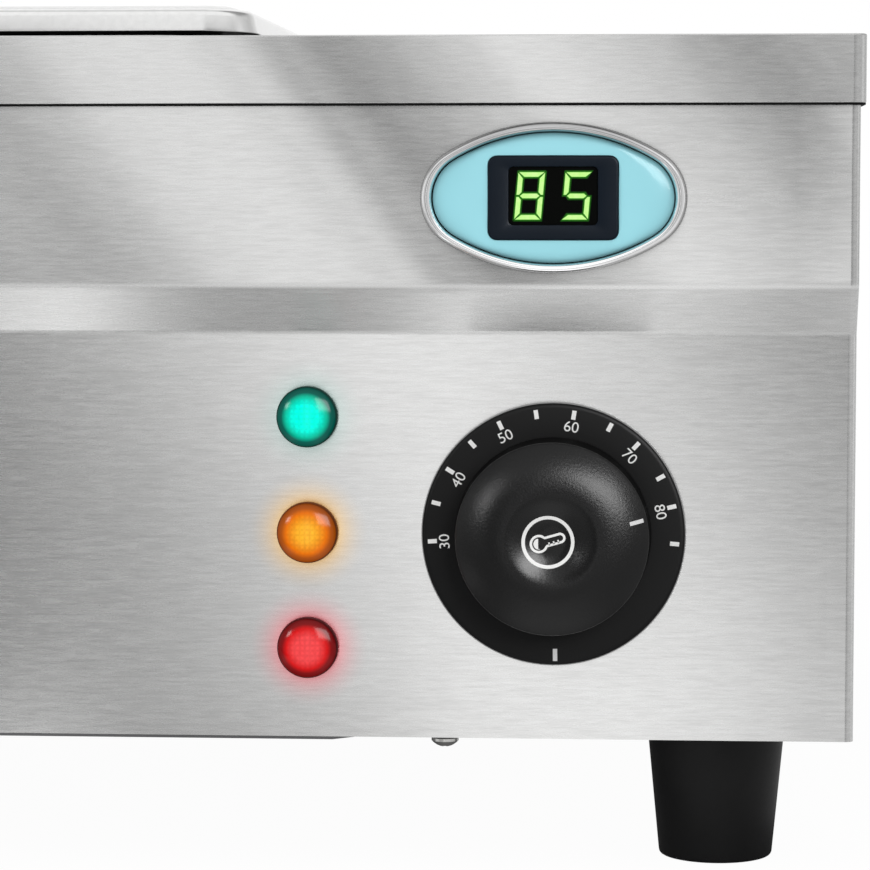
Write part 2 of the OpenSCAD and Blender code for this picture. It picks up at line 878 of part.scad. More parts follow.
module thermostat_spindle() {
    bore_top = knob_reach - dish_depth - bore_cover;
    color(grey)
    out_front(dial_x, control_y, dial_z)
        translate([0, 0, pass - sheet - spindle_in])
            cylinder(h = bore_top + sheet + spindle_in - 2 * pass, d = spindle_d);
}

module thermostat() {
    color(white)
    out_front(dial_x, control_y, dial_z)
    difference() {
        union() {
            translate([-thermostat_w / 2, -thermostat_h / 2, -sheet - thermostat_d])
                cube([thermostat_w, thermostat_h, thermostat_d]);
            translate([0, 0, -2 * sheet]) cylinder(h = 2 * sheet + bush_out, d = bush_d);
        }
        translate([0, 0, -sheet - spindle_in])
            cylinder(h = sheet + spindle_in + bush_out + 1, d = spindle_d + 2 * running);
        for (s = [-1, 1])
            translate([s * thermostat_screw_x, 0, -sheet - spindle_in])
                cylinder(h = spindle_in + 1, d = screw_d + 2 * slack);
    }
}

module thermostat_screws() {
    color(grey)
    out_front(dial_x, control_y, dial_z)
        for (s = [-1, 1])
            translate([s * thermostat_screw_x, 0, web_t])
                pan_screw(screw_d, screw_head_d, web_head_h, screw_run);
}

// Bulb along the tank's right wall, with a capillary to the back of the thermostat
module sensing_bulb() {
    x = tank_right + bulb_gap + bulb_d / 2;
    z = floor_z + element_lift + element_collar_d / 2 + bulb_up;
    bulb_front = mid_y - bulb_len;
    turn_y = control_y + sheet + thermostat_d + flange_clear;
    drop = z - dial_z;
    elbow_d = 1.15 * capillary_d;
    color(brass)
    union() {
        translate([x, bulb_front, z]) rotate([-90, 0, 0]) cylinder(h = bulb_len, d = bulb_d);
        translate([x, turn_y, z]) {
            rotate([-90, 0, 0]) cylinder(h = bulb_front - turn_y + bulb_d, d = capillary_d);
            sphere(d = elbow_d);
            rotate([0, 90, 0]) cylinder(h = dial_x - x, d = capillary_d);
        }
        translate([dial_x, turn_y, z]) sphere(d = elbow_d);
        translate([dial_x, turn_y, min(z, dial_z)]) cylinder(h = abs(drop), d = capillary_d);
        translate([dial_x, turn_y, dial_z]) {
            sphere(d = elbow_d);
            rotate([90, 0, 0]) cylinder(h = flange_clear, d = capillary_d);
        }
    }
}

module safety_cutout() {
    color(black)
    out_tank(mid_y + bulb_len / 2, floor_z + 3 * element_lift)
    union() {
        translate([-cutout_h / 2, -cutout_w / 2, 0]) cube([cutout_h, cutout_w, cutout_base]);
        cylinder(h = cutout_len, d = cutout_d);
        for (s = [-1, 1])
            translate([-blade_w / 2, s * cutout_d / 4 - blade_t / 2, cutout_base])
                cube([blade_w, blade_t, cutout_len + blade_len - cutout_base]);
    }
}

// Lamps

module lamp_place(i) {
    out_front(lamp_x, control_y, dial_z + (1 - i) * lamp_pitch) children();
}

module lamp(i) {
    r = lamp_d / 2;
    color(lamp_colours[i])
    lamp_place(i)
    union() {
        rotate_extrude()
            polygon(concat(
                [[0, 0], [r, 0]],
                ellipse_arc([0, lens_edge], r, lamp_reach - lens_edge, 0, 90, 10)
            ));
        translate([0, 0, -sheet - stud_len]) cylinder(h = sheet + stud_len + lens_edge / 2, d = stud_d);
    }
}

module lamp_nuts() {
    color(grey)
    for (i = [0:2])
        lamp_place(i) translate([0, 0, -sheet - lamp_nut_h]) hex_nut(lamp_nut_flats, stud_d, lamp_nut_h);
}

module lamp_bodies() {
    color(white)
    for (i = [0:2])
        lamp_place(i)
            translate([0, 0, -sheet - stud_len - lamp_body_len])
                cylinder(h = lamp_body_len, d = lamp_body_d);
}

// Display

module display_place() {
    out_front(dial_x, face_y, display_z) children();
}

// One layer of the rounded surround, up to a share of its thickness
module surround_layer(inset, share) {
    linear_extrude(share * surround_t)
        difference() {
            oval(display_w - 2 * inset, display_h - 2 * inset, oval_end + surround_turn - inset);
            oval(face_w + inset, face_h + inset, oval_end);
        }
}

module display_surround() {
    color(steel)
    display_place()
    union() {
        linear_extrude(web_h)
            difference() {
                oval(display_w, display_h, oval_end + surround_turn);
                oval(face_w - 2 * surround_lip, face_h - 2 * surround_lip, oval_end - surround_lip);
            }
        surround_layer(0, 0.6);
        surround_layer(0.18 * surround_band, 0.85);
        surround_layer(0.4 * surround_band, 1);
    }
}

module display_face() {
    color([0.60, 0.85, 0.90])
    display_place()
    translate([0, 0, web_h])
    linear_extrude(face_t)
        difference() {
            oval(face_w - 2 * slack, face_h - 2 * slack, oval_end - slack);
            rounded_rect(window_w + 2 * slack, window_h + 2 * slack, window_r + slack);
        }
}

module display_window() {
    color(black)
    display_place()
    difference() {
        slab(window_w, window_h, window_r, window_t);
        translate([0, field_up, field_floor]) slab(field_w, field_h, field_r, window_t);
    }
}

// Outlines of a digit's segments, mitred at the corners: top, upper left and middle
half_w = digit_w / 2;
half_h = digit_h / 2;
digit_top = [
    [digit_gap - half_w, half_h], [half_w - digit_gap, half_h],
    [half_w - digit_stroke - digit_gap, half_h - digit_stroke],
    [digit_stroke + digit_gap - half_w, half_h - digit_stroke]
];
digit_side = [
    [-half_w, half_h - digit_gap], [-half_w, digit_gap], [digit_stroke / 2 - half_w, digit_gap],
    [digit_stroke - half_w, digit_stroke / 2 + digit_gap],
    [digit_stroke - half_w, half_h - digit_stroke - digit_gap]
];
middle_end = half_w - digit_stroke / 2 - digit_gap;
digit_middle = [
    [-middle_end, 0], [digit_stroke / 2 - middle_end, digit_stroke / 2],
    [middle_end - digit_stroke / 2, digit_stroke / 2], [middle_end, 0],
    [middle_end - digit_stroke / 2, -digit_stroke / 2], [digit_stroke / 2 - middle_end, -digit_stroke / 2]
];
// Each segment's outline, and -1 where it is turned over across or upright
segments = [
    [digit_top, 1, 1], [digit_side, 1, 1], [digit_side, -1, 1], [digit_middle, 1, 1],
    [digit_side, 1, -1], [digit_side, -1, -1], [digit_top, 1, -1]
];
digit_eight = [0, 1, 2, 3, 4, 5, 6];
digit_five = [0, 1, 3, 5, 6];

module segment(s) {
    polygon([for (p = s[0]) [s[1] * p[0] + s[2] * p[1] * tan(digit_slant), s[2] * p[1]]]);
}

module display_digits() {
    color([0.75, 1.0, 0.45])
    display_place()
    translate([0, field_up, field_floor])
    linear_extrude(digit_t) {
        translate([-digit_pitch / 2, 0]) for (i = digit_eight) segment(segments[i]);
        translate([digit_pitch / 2, 0]) for (i = digit_five) segment(segments[i]);
    }
}

module display_housing() {
    color(black)
    display_place()
    translate([0, 0, -sheet - housing_d])
    linear_extrude(sheet + housing_d) oval(face_w - 2 * pass, face_h - 2 * pass, oval_end - pass);
}

// Mains inlet

module terminal_block() {
    w = block_w;
    d = block_d;
    h = block_h;
    color(white)
    translate([gland_x, rear_y - side_clear - d / 2, casing_z])
    difference() {
        translate([-w / 2, -d / 2, 0]) cube([w, d, h]);
        for (x = [-1.5:1.5], y = [-1, 1])
            translate([x * w / 4.5, y * d / 4, h / 2]) cylinder(h = h, d = block_hole_d);
    }
}

module gland_body() {
    color(black)
    out_rear(gland_x, rear_y, gland_z)
    difference() {
        union() {
            cylinder(h = gland_hex_h, d = gland_hex, $fn = 6);
            translate([0, 0, -sheet - gland_inside])
                cylinder(h = sheet + gland_inside + gland_reach - cap_front, d = gland_thread);
        }
        translate([0, 0, -sheet - gland_inside - 1])
            cylinder(h = sheet + gland_inside + gland_reach, d = gland_bore);
    }
}

module gland_cap() {
    color(black)
    out_rear(gland_x, rear_y, gland_z)
    difference() {
        union() {
            translate([0, 0, gland_hex_h]) cylinder(h = gland_reach - gland_hex_h - cap_taper, d = cap_d);
            translate([0, 0, gland_reach - cap_taper])
                cylinder(h = cap_taper, d1 = cap_d, d2 = cap_d - 2 * cap_taper);
        }
        translate([0, 0, gland_hex_h - 1])
            cylinder(h = gland_reach - gland_hex_h - cap_front + pass + 1, d = gland_thread + 2 * slack);
        cylinder(h = gland_reach + 1, d = gland_bore + 4 * slack);
    }
}

module gland_locknut() {
    color(black)
    out_rear(gland_x, rear_y, gland_z)
        translate([0, 0, -sheet - gland_nut_h]) hex_nut(cap_d, gland_thread, gland_nut_h);
}

// Heating element: four runs joined by half-turns, ends through the tank's right wall

module element_end() {
    neck = nut_h + element_collar_h;
    translate([0, 0, -sheet - element_collar_h]) cylinder(h = element_collar_h, d = element_collar_d);
    translate([0, 0, -2 * sheet]) cylinder(h = 2 * sheet + neck, d = element_neck_d);
    translate([0, 0, neck - sheet]) cylinder(h = element_pin + sheet, d = element_d / 2);
}

module heating_element() {
    turn_r = element_pitch / 2;
    z = floor_z + element_lift;
    left = pans_x - tank_w / 2 + element_margin + turn_r;
    right = pans_x + tank_w / 2 - element_margin - turn_r;
    wall = tank_right - sheet;
    color(grey)
    union() {
        for (s = [-1, 1]) {
            translate([left, mid_y + s * 1.5 * element_pitch, z]) rotate([0, 90, 0])
                cylinder(h = wall - left, d = element_d);
            translate([left, mid_y + s * 0.5 * element_pitch, z]) rotate([0, 90, 0])
                cylinder(h = right - left, d = element_d);
            translate([left, mid_y + s * element_pitch, z]) rotate([0, 0, 90])
                rotate_extrude(angle = 180) translate([turn_r, 0]) circle(d = element_d);
            out_tank(mid_y + s * 1.5 * element_pitch, z) element_end();
        }
        translate([right, mid_y, z]) rotate([0, 0, -90])
            rotate_extrude(angle = 180) translate([turn_r, 0]) circle(d = element_d);
    }
}

module element_nuts() {
    color(brass)
    for (s = [-1, 1])
        out_tank(mid_y + s * 1.5 * element_pitch, floor_z + element_lift)
            hex_nut(element_neck_d + element_step, element_neck_d, nut_h);
}

// Drain and tap

// Distance from the tank's inner front wall to the control panel's face
drain_run = mid_y - tank_d / 2 - control_y;

module drain_place() {
    out_front(tap_x, mid_y - tank_d / 2, tap_z) children();
}

module tap_place() {
    out_front(tap_x, control_y, tap_z) children();
}

module drain_spigot() {
    start = -gasket_t - head_t;
    color(brass)
    drain_place()
    difference() {
        union() {
            translate([0, 0, start]) cylinder(h = head_t, d = gasket_d);
            translate([0, 0, start]) cylinder(h = drain_run + socket_depth - pipe_gap - start, d = pipe_d);
        }
        translate([0, 0, start - 1]) cylinder(h = drain_run + socket_depth + 2 - start, d = pipe_bore);
    }
}

module drain_gasket() {
    color(black) drain_place() translate([0, 0, -gasket_t]) ring(gasket_d, pipe_d + 2 * slack, gasket_t);
}

module drain_locknut() {
    color(brass) drain_place() translate([0, 0, sheet]) hex_nut(locknut_flats, pipe_d, locknut_h);
}

ball_at = socket_depth + ball_d / 2;
spout_at = tap_len - spout_d / 2 - tail_step - spout_end;

module valve_body() {
    chamber_d = ball_d + 2 * ball_gap;
    chamber_end = socket_depth + ball_d + ball_gap;
    color(brass)
    tap_place()
    difference() {
        union() {
            cylinder(h = tap_len, d = barrel_d);
            cylinder(h = tap_flange_t, d = tap_flange_d);
            translate([0, 0, ball_at]) rotate([-90, 0, 0]) cylinder(h = boss_h, d = stem_d + 2 * boss_wall);
            translate([0, 0, spout_at])
                rotate([90, 0, 0]) {
                    cylinder(h = spout_len, d = spout_d);
                    cylinder(h = spout_len - tail_len, d = spout_d + 2 * tail_step);
                }
        }
        translate([0, 0, -1]) cylinder(h = socket_depth + 1, d = pipe_d + 2 * slack);
        translate([0, 0, -1]) cylinder(h = chamber_end + 1, d = chamber_d);
        translate([0, 0, socket_depth]) cylinder(h = spout_at - socket_depth, d = spout_bore);
        translate([0, 0, spout_at]) rotate([90, 0, 0]) cylinder(h = spout_len + 1, d = spout_bore);
        translate([0, 0, spout_at]) sphere(d = spout_bore);
        translate([0, 0, ball_at]) rotate([-90, 0, 0]) cylinder(h = boss_h + 1, d = stem_d + 2 * running);
    }
}

module valve_ball() {
    tip = boss_h + lever_gap + lever_t + nut_h + bolt_end;
    color(grey)
    tap_place()
    translate([0, 0, ball_at])
    difference() {
        rotate([-90, 0, 0])
            rotate_extrude()
                union() {
                    intersection() {
                        circle(d = ball_d);
                        translate([0, -ball_d]) square([ball_d, 2 * ball_d]);
                    }
                    square([stem_d / 2, boss_h + lever_gap]);
                    square([stem_tip_d / 2, tip]);
                }
        translate([-ball_d, 0, 0]) rotate([0, 90, 0]) cylinder(h = 2 * ball_d, d = spout_bore);
    }
}

// Upright frame on the stem, x along the lever
module lever_place() {
    translate([tap_x, control_y - ball_at, tap_z + boss_h + lever_gap]) children();
}

module tap_lever() {
    color(steel)
    lever_place()
    linear_extrude(lever_t)
        difference() {
            union() {
                circle(d = lever_w);
                translate([0, -lever_w / 2]) square([lever_len - lever_w / 2, lever_w]);
                translate([lever_len - lever_w / 2, 0]) circle(d = lever_w);
            }
            circle(d = stem_tip_d + 2 * slack);
        }
}

module lever_grip() {
    length = lever_len - grip_start;
    outer = lever_w + 2 * grip_t;
    slot_w = lever_w + 2 * running;
    color([0.75, 0.08, 0.08])
    lever_place()
    difference() {
        translate([grip_start, 0, -grip_t])
            linear_extrude(lever_t + 2 * grip_t)
                union() {
                    translate([0, -outer / 2]) square([length - lever_w / 2, outer]);
                    translate([length - lever_w / 2, 0]) circle(d = outer);
                }
        linear_extrude(lever_t)
            union() {
                translate([0, -slot_w / 2]) square([lever_len - lever_w / 2, slot_w]);
                translate([lever_len - lever_w / 2, 0]) circle(d = slot_w);
            }
    }
}

module lever_nut() {
    color(grey) lever_place() translate([0, 0, lever_t]) hex_nut(nut_flats, stem_tip_d, nut_h);
}

top_deck();
water_tank();
divider_bar(pans_x - pan_pitch / 2);  // divider_bar_left
divider_bar(pans_x + pan_pitch / 2);  // divider_bar_right
front_panel();
left_panel();
right_panel();
rear_panel();
rear_screws();
base_plate();
base_screws();
for (c = corners)
    foot_place(c) foot();
foot_screws();
foot_nuts();
for (i = [0:2])
    translate([pan_x(i), mid_y, 0]) pan();
for (i = [0:2])
    translate([pan_x(i), mid_y, 0]) lid();
for (i = [0:2])
    translate([pan_x(i), mid_y, 0]) lid_handle();
dial_plate();
thermostat_knob();
thermostat_spindle();
thermostat();
thermostat_screws();
sensing_bulb();
safety_cutout();
for (i = [0:2])
    lamp(i);
lamp_nuts();
lamp_bodies();
display_surround();
display_face();
display_window();
display_digits();
display_housing();
terminal_block();
gland_body();
gland_cap();
gland_locknut();
heating_element();
element_nuts();
drain_spigot();
drain_gasket();
drain_locknut();
valve_body();
valve_ball();
tap_lever();
lever_grip();
lever_nut();
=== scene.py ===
import json
import math

import bmesh
import bpy
from mathutils import Matrix, Vector

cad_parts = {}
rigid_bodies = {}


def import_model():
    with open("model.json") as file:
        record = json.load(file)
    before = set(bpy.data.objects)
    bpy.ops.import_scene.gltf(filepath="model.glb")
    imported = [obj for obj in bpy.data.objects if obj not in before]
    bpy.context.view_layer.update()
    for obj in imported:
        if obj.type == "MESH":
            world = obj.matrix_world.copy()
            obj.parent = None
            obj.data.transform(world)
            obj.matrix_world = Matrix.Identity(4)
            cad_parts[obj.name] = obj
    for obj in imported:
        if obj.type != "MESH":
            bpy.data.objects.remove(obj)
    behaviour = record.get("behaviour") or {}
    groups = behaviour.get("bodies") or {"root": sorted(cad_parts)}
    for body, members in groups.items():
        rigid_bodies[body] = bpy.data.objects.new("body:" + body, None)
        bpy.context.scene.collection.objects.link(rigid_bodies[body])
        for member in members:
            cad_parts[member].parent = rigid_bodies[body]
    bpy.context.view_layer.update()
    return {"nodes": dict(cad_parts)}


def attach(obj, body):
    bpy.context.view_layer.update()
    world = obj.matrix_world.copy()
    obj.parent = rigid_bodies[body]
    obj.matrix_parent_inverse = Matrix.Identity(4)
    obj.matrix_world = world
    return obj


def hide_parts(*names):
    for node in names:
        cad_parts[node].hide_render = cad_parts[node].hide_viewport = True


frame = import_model()
nodes = frame["nodes"]
mm = 0.001
plainWhite = (1, 1, 1, 1)
plainBlack = (0, 0, 0, 1)
print("frame loaded,", len(nodes), "nodes")

# camera fitted to the photo, places in millimetres
cameraSetup = {"place": (306.75, -985.6, 171.8), "aim": (253.0, -185.6, 113.1), "lens": 132.414, "sensor": 36.0}


def addObject(name, data):
    item = bpy.data.objects.new(name, data)
    bpy.context.collection.objects.link(item)
    return item


def lookAt(place, aim):
    return (Vector(aim) - Vector(place)).to_track_quat("-Z", "Y").to_euler()


def addCamera(v):
    data = bpy.data.cameras.new("photoCamera")
    data.sensor_width = v["sensor"]
    data.lens = v["lens"]
    data.clip_start = 0.01
    camera = addObject("photoCamera", data)
    camera.location = Vector(v["place"]) * mm
    camera.rotation_euler = lookAt(Vector(v["place"]) * mm, Vector(v["aim"]) * mm)
    bpy.context.scene.camera = camera


addCamera(cameraSetup)
bpy.context.scene.view_settings.view_transform = "Standard"


# small helpers for shader trees
def feed(tree, item, values):
    for key, value in values.items():
        if isinstance(value, bpy.types.NodeSocket):
            tree.links.new(value, item.inputs[key])
        else:
            item.inputs[key].default_value = value


def put(tree, kind, settings=None, **values):
    # inputs go by name, or as i0, i1 and so on by number
    item = tree.nodes.new(kind)
    for key, value in (settings or {}).items():
        setattr(item, key, value)
    feed(tree, item, {int(key[1:]) if key[1:].isdigit() else key: value for key, value in values.items()})
    return item


def math2(tree, operation, a, b=0.0, c=0.0, clamp=False):
    return put(tree, "ShaderNodeMath", {"operation": operation, "use_clamp": clamp}, i0=a, i1=b, i2=c).outputs[0]


def mul(tree, a, b):
    return math2(tree, "MULTIPLY", a, b)


def line(tree, value, slope, start, clamp=False):
    return math2(tree, "MULTIPLY_ADD", value, slope, start, clamp)


def vec(tree, operation, a, b=(0, 0, 0)):
    item = put(tree, "ShaderNodeVectorMath", {"operation": operation}, i0=a, i1=b)
    return item.outputs["Value"] if operation == "LENGTH" else item.outputs["Vector"]


def fade(tree, value, low, high, start=0.0, end=1.0, ease="SMOOTHSTEP"):
    return put(tree, "ShaderNodeMapRange", {"interpolation_type": ease}, Value=value, i1=low, i2=high, i3=start,
               i4=end).outputs[0]


def between(tree, value, low, high, soft):
    # one inside two limits in mm, and none outside
    up = fade(tree, value, (low - soft) * mm, (low + soft) * mm)
    return mul(tree, up, fade(tree, value, (high - soft) * mm, (high + soft) * mm, 1.0, 0.0))


def ramp(tree, fac, stops, ease="LINEAR"):
    item = put(tree, "ShaderNodeValToRGB", Fac=fac)
    band = item.color_ramp
    band.interpolation = ease
    band.elements.remove(band.elements[1])
    for i, (at, value) in enumerate(stops):
        element = band.elements[0] if i == 0 else band.elements.new(at)
        element.position = at
        element.color = grey(value) if isinstance(value, (int, float)) else rgba(value)
    return item.outputs["Color"]


def mixColor(tree, fac, a, b, blend="MIX"):
    item = put(tree, "ShaderNodeMix", {"data_type": "RGBA", "blend_type": blend}, i0=fac, i6=a, i7=b)
    return item.outputs[2]


def times(tree, a, b):
    return mixColor(tree, 1.0, a, b, "MULTIPLY")


def rgba(color):
    return (*color, 1)


def grey(level):
    return (level, level, level, 1)


def scaled(color, k):
    return tuple(min(1.0, c * k) for c in color)


def objectPlace(tree, scale=(1, 1, 1), move=(0, 0, 0)):
    coords = put(tree, "ShaderNodeTexCoord").outputs["Object"]
    return put(tree, "ShaderNodeMapping", Vector=coords, Scale=scale, Location=move).outputs[0]


def split(tree, vector):
    return put(tree, "ShaderNodeSeparateXYZ", Vector=vector).outputs


def grain(tree, scale, detail=3.0, rough=0.55, move=(0, 0, 0)):
    # noise with a number of spots per metre, on all axes or on each
    scale = (scale,) * 3 if isinstance(scale, (int, float)) else scale
    return put(tree, "ShaderNodeTexNoise", Vector=objectPlace(tree, scale, move), Scale=1.0, Detail=detail,
               Roughness=rough).outputs[0]


def toneRamp(tree, fac, color, darker, lighter, low=0.3):
    return ramp(tree, fac, [(low, scaled(color, 1 - darker)), (1 - low, scaled(color, 1 + lighter))])


def startMaterial(name, color, metallic=0.0, roughness=0.5):
    mat = bpy.data.materials.new(name)
    mat.use_nodes = True
    mat.diffuse_color = rgba(color)
    tree = mat.node_tree
    shader = tree.nodes["Principled BSDF"]
    feed(tree, shader, {"Base Color": rgba(color), "Metallic": metallic, "Roughness": roughness})
    return mat, tree, shader


def setBump(tree, shader, height, strength, depth, normal=None):
    # depth in mm
    item = put(tree, "ShaderNodeBump", Strength=strength, Distance=depth * mm, Height=height)
    if normal is not None:
        feed(tree, item, {"Normal": normal})
    feed(tree, shader, {"Normal": item.outputs[0]})


# brushing runs along the long direction of each sheet; fine and broad are lines per metre, and run is along them
steelFinish = {
    "color": (0.70, 0.70, 0.695), "roughness": 0.27, "roughSpread": 0.06, "anisotropy": 0.93, "contrast": 0.105,
    "fine": 1850.0, "fineRun": 150.0, "broad": 1300.0, "broadRun": 9.0, "cloud": 14.0, "bump": 0.05, "depth": 0.03,
}
# slight waviness of the upper front sheets: place along X in mm, lean in degrees; the waves run at a slant; shade is
# the share of painted shade that darkens these sheets
panelWaves = {
    "low": 149.0, "high": 214.0, "level": 204.0, "slant": 0.745, "fall": 1.33 / 50.0, "shade": 0.07,
    "endLean": 1.3, "endFrom": 343.0, "endTo": 356.0, "endLow": 151.5, "endHigh": 195.5,
    "stops": [(100, 2.2), (111, 2.1), (137, 1.25), (148, 1.45), (165, 2.2), (184, 2.5), (205, 0.5), (219, -1.65),
              (232, -3.0), (243, -2.8), (254, -2.35), (264, -2.1), (279, -1.0), (294, -0.3), (309, -0.1), (324, 0.4),
              (331, 0.6), (338, 0.6), (346, 0.0), (353, -0.5), (365, -1.1)],
}
# the lower front sheet leans with its height and bows at its foot: slopes and starts of the lean in radians
lowSheet = {"low": 30.0, "high": 138.0, "footFrom": 90.0, "footTo": 45.0, "bow": (-0.10, 0.028),
            "drift": (0.25, -0.0325)}
# a painted highlight: a bright strip of colour along the fold above the step
foldHighlight = {"low": 150.0, "high": 150.9, "color": (0.82, 0.82, 0.815)}
lampX = 220.0
lampPlaces = {"green": 117.1, "amber": 87.6, "red": 58.1}
# painted glow of the lamps on the panel around them: emission, and a tint in the steel's colour
lampGlow = {
    "from": 7.0, "to": 16.0,
    "color": {"green": (0.0, 0.30, 0.20), "amber": (1.0, 0.42, 0.02), "red": (1.0, 0.05, 0.07)},
    "tint": {"green": (0.86, 1.0, 0.975), "amber": (1.0, 0.80, 0.46), "red": (1.0, 0.55, 0.59)},
    "strength": {"green": 0.08, "amber": 0.30, "red": 0.28},
}


def tiltRamp(tree, x, stops, most=10.0):
    # lean in radians from stops in degrees, up to the most that the ramp holds
    low, high = stops[0][0], stops[-1][0]
    u = line(tree, x, 1000.0 / (high - low), -low / (high - low), True)
    shares = [((p - low) / (high - low), 0.5 + d / (2 * most)) for p, d in stops]
    return line(tree, ramp(tree, u, shares, "EASE"), math.radians(2 * most), -math.radians(most))


def frontNormal(tree, x, z, w, low):
    drop = math2(tree, "SUBTRACT", w["level"] * mm, z)
    place = line(tree, drop, -w["slant"], x)
    wave = line(tree, drop, -math.radians(w["fall"]) / mm, tiltRamp(tree, place, w["stops"]))
    lean = mul(tree, wave, between(tree, z, w["low"], w["high"], 1.5))
    end = fade(tree, x, w["endFrom"] * mm, w["endTo"] * mm, ease="LINEAR")
    end = mul(tree, end, between(tree, z, w["endLow"], w["endHigh"], 1.0))
    lean = line(tree, end, -math.radians(w["endLean"]), lean)
    foot = fade(tree, z, low["footFrom"] * mm, low["footTo"] * mm, ease="LINEAR")
    bow = mul(tree, foot, line(tree, x, *low["bow"]))
    drift = math2(tree, "ADD", bow, line(tree, z, *low["drift"]))
    lean = math2(tree, "ADD", lean, mul(tree, drift, between(tree, z, low["low"], low["high"], 1.5)))
    aside = put(tree, "ShaderNodeCombineXYZ", X=lean).outputs[0]
    facing = put(tree, "ShaderNodeNewGeometry").outputs["Normal"]
    return vec(tree, "NORMALIZE", vec(tree, "ADD", facing, aside))


def frontTone(tree, z, color, w, fold):
    # painted shade: the upper front sheets are darkened a little
    shade = between(tree, z, w["low"] + 0.5, w["high"], 1.0)
    color = mixColor(tree, mul(tree, shade, w["shade"]), color, plainBlack)
    # painted highlight: the fold above the step is given a brighter colour
    return mixColor(tree, between(tree, z, fold["low"], fold["high"], 0.5), color, rgba(fold["color"]))


# paints the lamps' glow on the steel, as emission and tint that fade away from each lamp
def paintLampGlow(tree, shader, color, v):
    total = None
    for lamp, z in lampPlaces.items():
        away = vec(tree, "MULTIPLY", objectPlace(tree, move=(-lampX * mm, 0, -z * mm)), (1, 0, 1))
        reach = fade(tree, vec(tree, "LENGTH", away), v["from"] * mm, v["to"] * mm, 1.0, 0.0, "LINEAR")
        near = math2(tree, "POWER", reach, 2.0)
        part = mixColor(tree, mul(tree, near, v["strength"][lamp]), plainBlack, rgba(v["color"][lamp]))
        total = part if total is None else mixColor(tree, 1.0, total, part, "ADD")
        color = times(tree, color, mixColor(tree, near, plainWhite, rgba(v["tint"][lamp])))
    feed(tree, shader, {"Emission Color": total, "Emission Strength": 1.0})
    return color


def brushedSteel(name, run, front=False, glow=False):
    v = steelFinish
    mat, tree, shader = startMaterial(name, v["color"], 1.0, v["roughness"])
    fineScale, broadScale = [v["fine"]] * 3, [v["broad"]] * 3
    fineScale[run], broadScale[run] = v["fineRun"], v["broadRun"]
    fine = grain(tree, fineScale, 2.0, 0.7)
    broad = grain(tree, broadScale, 3.0, 0.6, (0.37, 0.11, 0.53))
    cloud = grain(tree, v["cloud"], 2.0, 0.5)
    veils = [ramp(tree, fac, [(0.3, 0.97), (0.7, 1.0)]) for fac in (broad, cloud)]
    color = toneRamp(tree, fine, v["color"], v["contrast"], v["contrast"], 0.25)
    color = times(tree, times(tree, color, veils[0]), veils[1])
    tangent = put(tree, "ShaderNodeTangent", {"direction_type": "UV_MAP", "uv_map": "brush"}).outputs[0]
    normal = None
    if front:
        x, _, z = split(tree, objectPlace(tree))
        normal = frontNormal(tree, x, z, panelWaves, lowSheet)
        color = frontTone(tree, z, color, panelWaves, foldHighlight)
    setBump(tree, shader, line(tree, broad, 0.5, fine), v["bump"], v["depth"], normal)
    if glow:
        color = paintLampGlow(tree, shader, color, lampGlow)
    rough = line(tree, fine, v["roughSpread"], v["roughness"] - v["roughSpread"] / 2)
    feed(tree, shader, {"Base Color": color, "Roughness": rough, "Anisotropic": v["anisotropy"], "Tangent": tangent})
    return mat


def sheetSteel(name, color, roughness, scale, variation=0.06):
    mat, tree, shader = startMaterial(name, color, 1.0, roughness)
    fine = grain(tree, scale, 3.0, 0.6)
    cloud = grain(tree, 22)
    tone = toneRamp(tree, fine, color, variation, variation / 2)
    veil = ramp(tree, cloud, [(0.3, 0.95), (0.7, 1.0)])
    rough = line(tree, cloud, 0.12, roughness - 0.06)
    feed(tree, shader, {"Base Color": times(tree, tone, veil), "Roughness": rough})
    setBump(tree, shader, fine, 0.08, 0.04)
    return mat


def grained(name, color, metallic, roughness, scales, variation, spread, bump, depth):
    # scales: fine grain, cloud
    mat, tree, shader = startMaterial(name, color, metallic, roughness)
    fine, cloud = grain(tree, scales[0]), grain(tree, scales[1], 2.0)
    feed(tree, shader, {"Base Color": toneRamp(tree, cloud, color, variation, variation),
                        "Roughness": line(tree, fine, spread, roughness - spread / 2, True)})
    setBump(tree, shader, fine, bump, depth)
    return mat, tree, shader


def castMetal(name, color, roughness, variation=0.05):
    return grained(name, color, 1.0, roughness, (900, 60), variation, 0.10, 0.05, 0.05)[0]


def moulded(name, color, roughness, scale=1400.0, bump=0.10, variation=0.10, coat=0.0, gloss=0.5):
    mat, tree, shader = grained(name, color, 0.0, roughness, (scale, 45), variation, 0.12, bump, 0.06)
    feed(tree, shader, {"Coat Weight": coat, "Coat Roughness": 0.06, "Specular IOR Level": gloss})
    return mat


def platedRing(name, color, roughness, shadeHeights=(0.175, 0.190)):
    # painted shade: the plating's colour darkens on the sides that slope away from the front, where the ring meets
    # the panel, and on the upper half
    mat, tree, shader = startMaterial(name, color, 1.0, roughness)
    fine = grain(tree, 900)
    facing = mul(tree, split(tree, put(tree, "ShaderNodeNewGeometry").outputs["Normal"])[1], -1.0)
    flankShade = ramp(tree, facing, [(0.0, 0.14), (0.22, 0.30), (0.45, 0.86), (0.65, 1.0)])
    upperShade = fade(tree, split(tree, objectPlace(tree))[2], *shadeHeights, 1.0, 0.50)
    tone = times(tree, toneRamp(tree, fine, color, 0.01, 0.0), upperShade)
    feed(tree, shader, {"Base Color": times(tree, tone, flankShade),
                        "Roughness": line(tree, fine, 0.06, roughness - 0.03, True)})
    setBump(tree, shader, fine, 0.03, 0.03)
    return mat


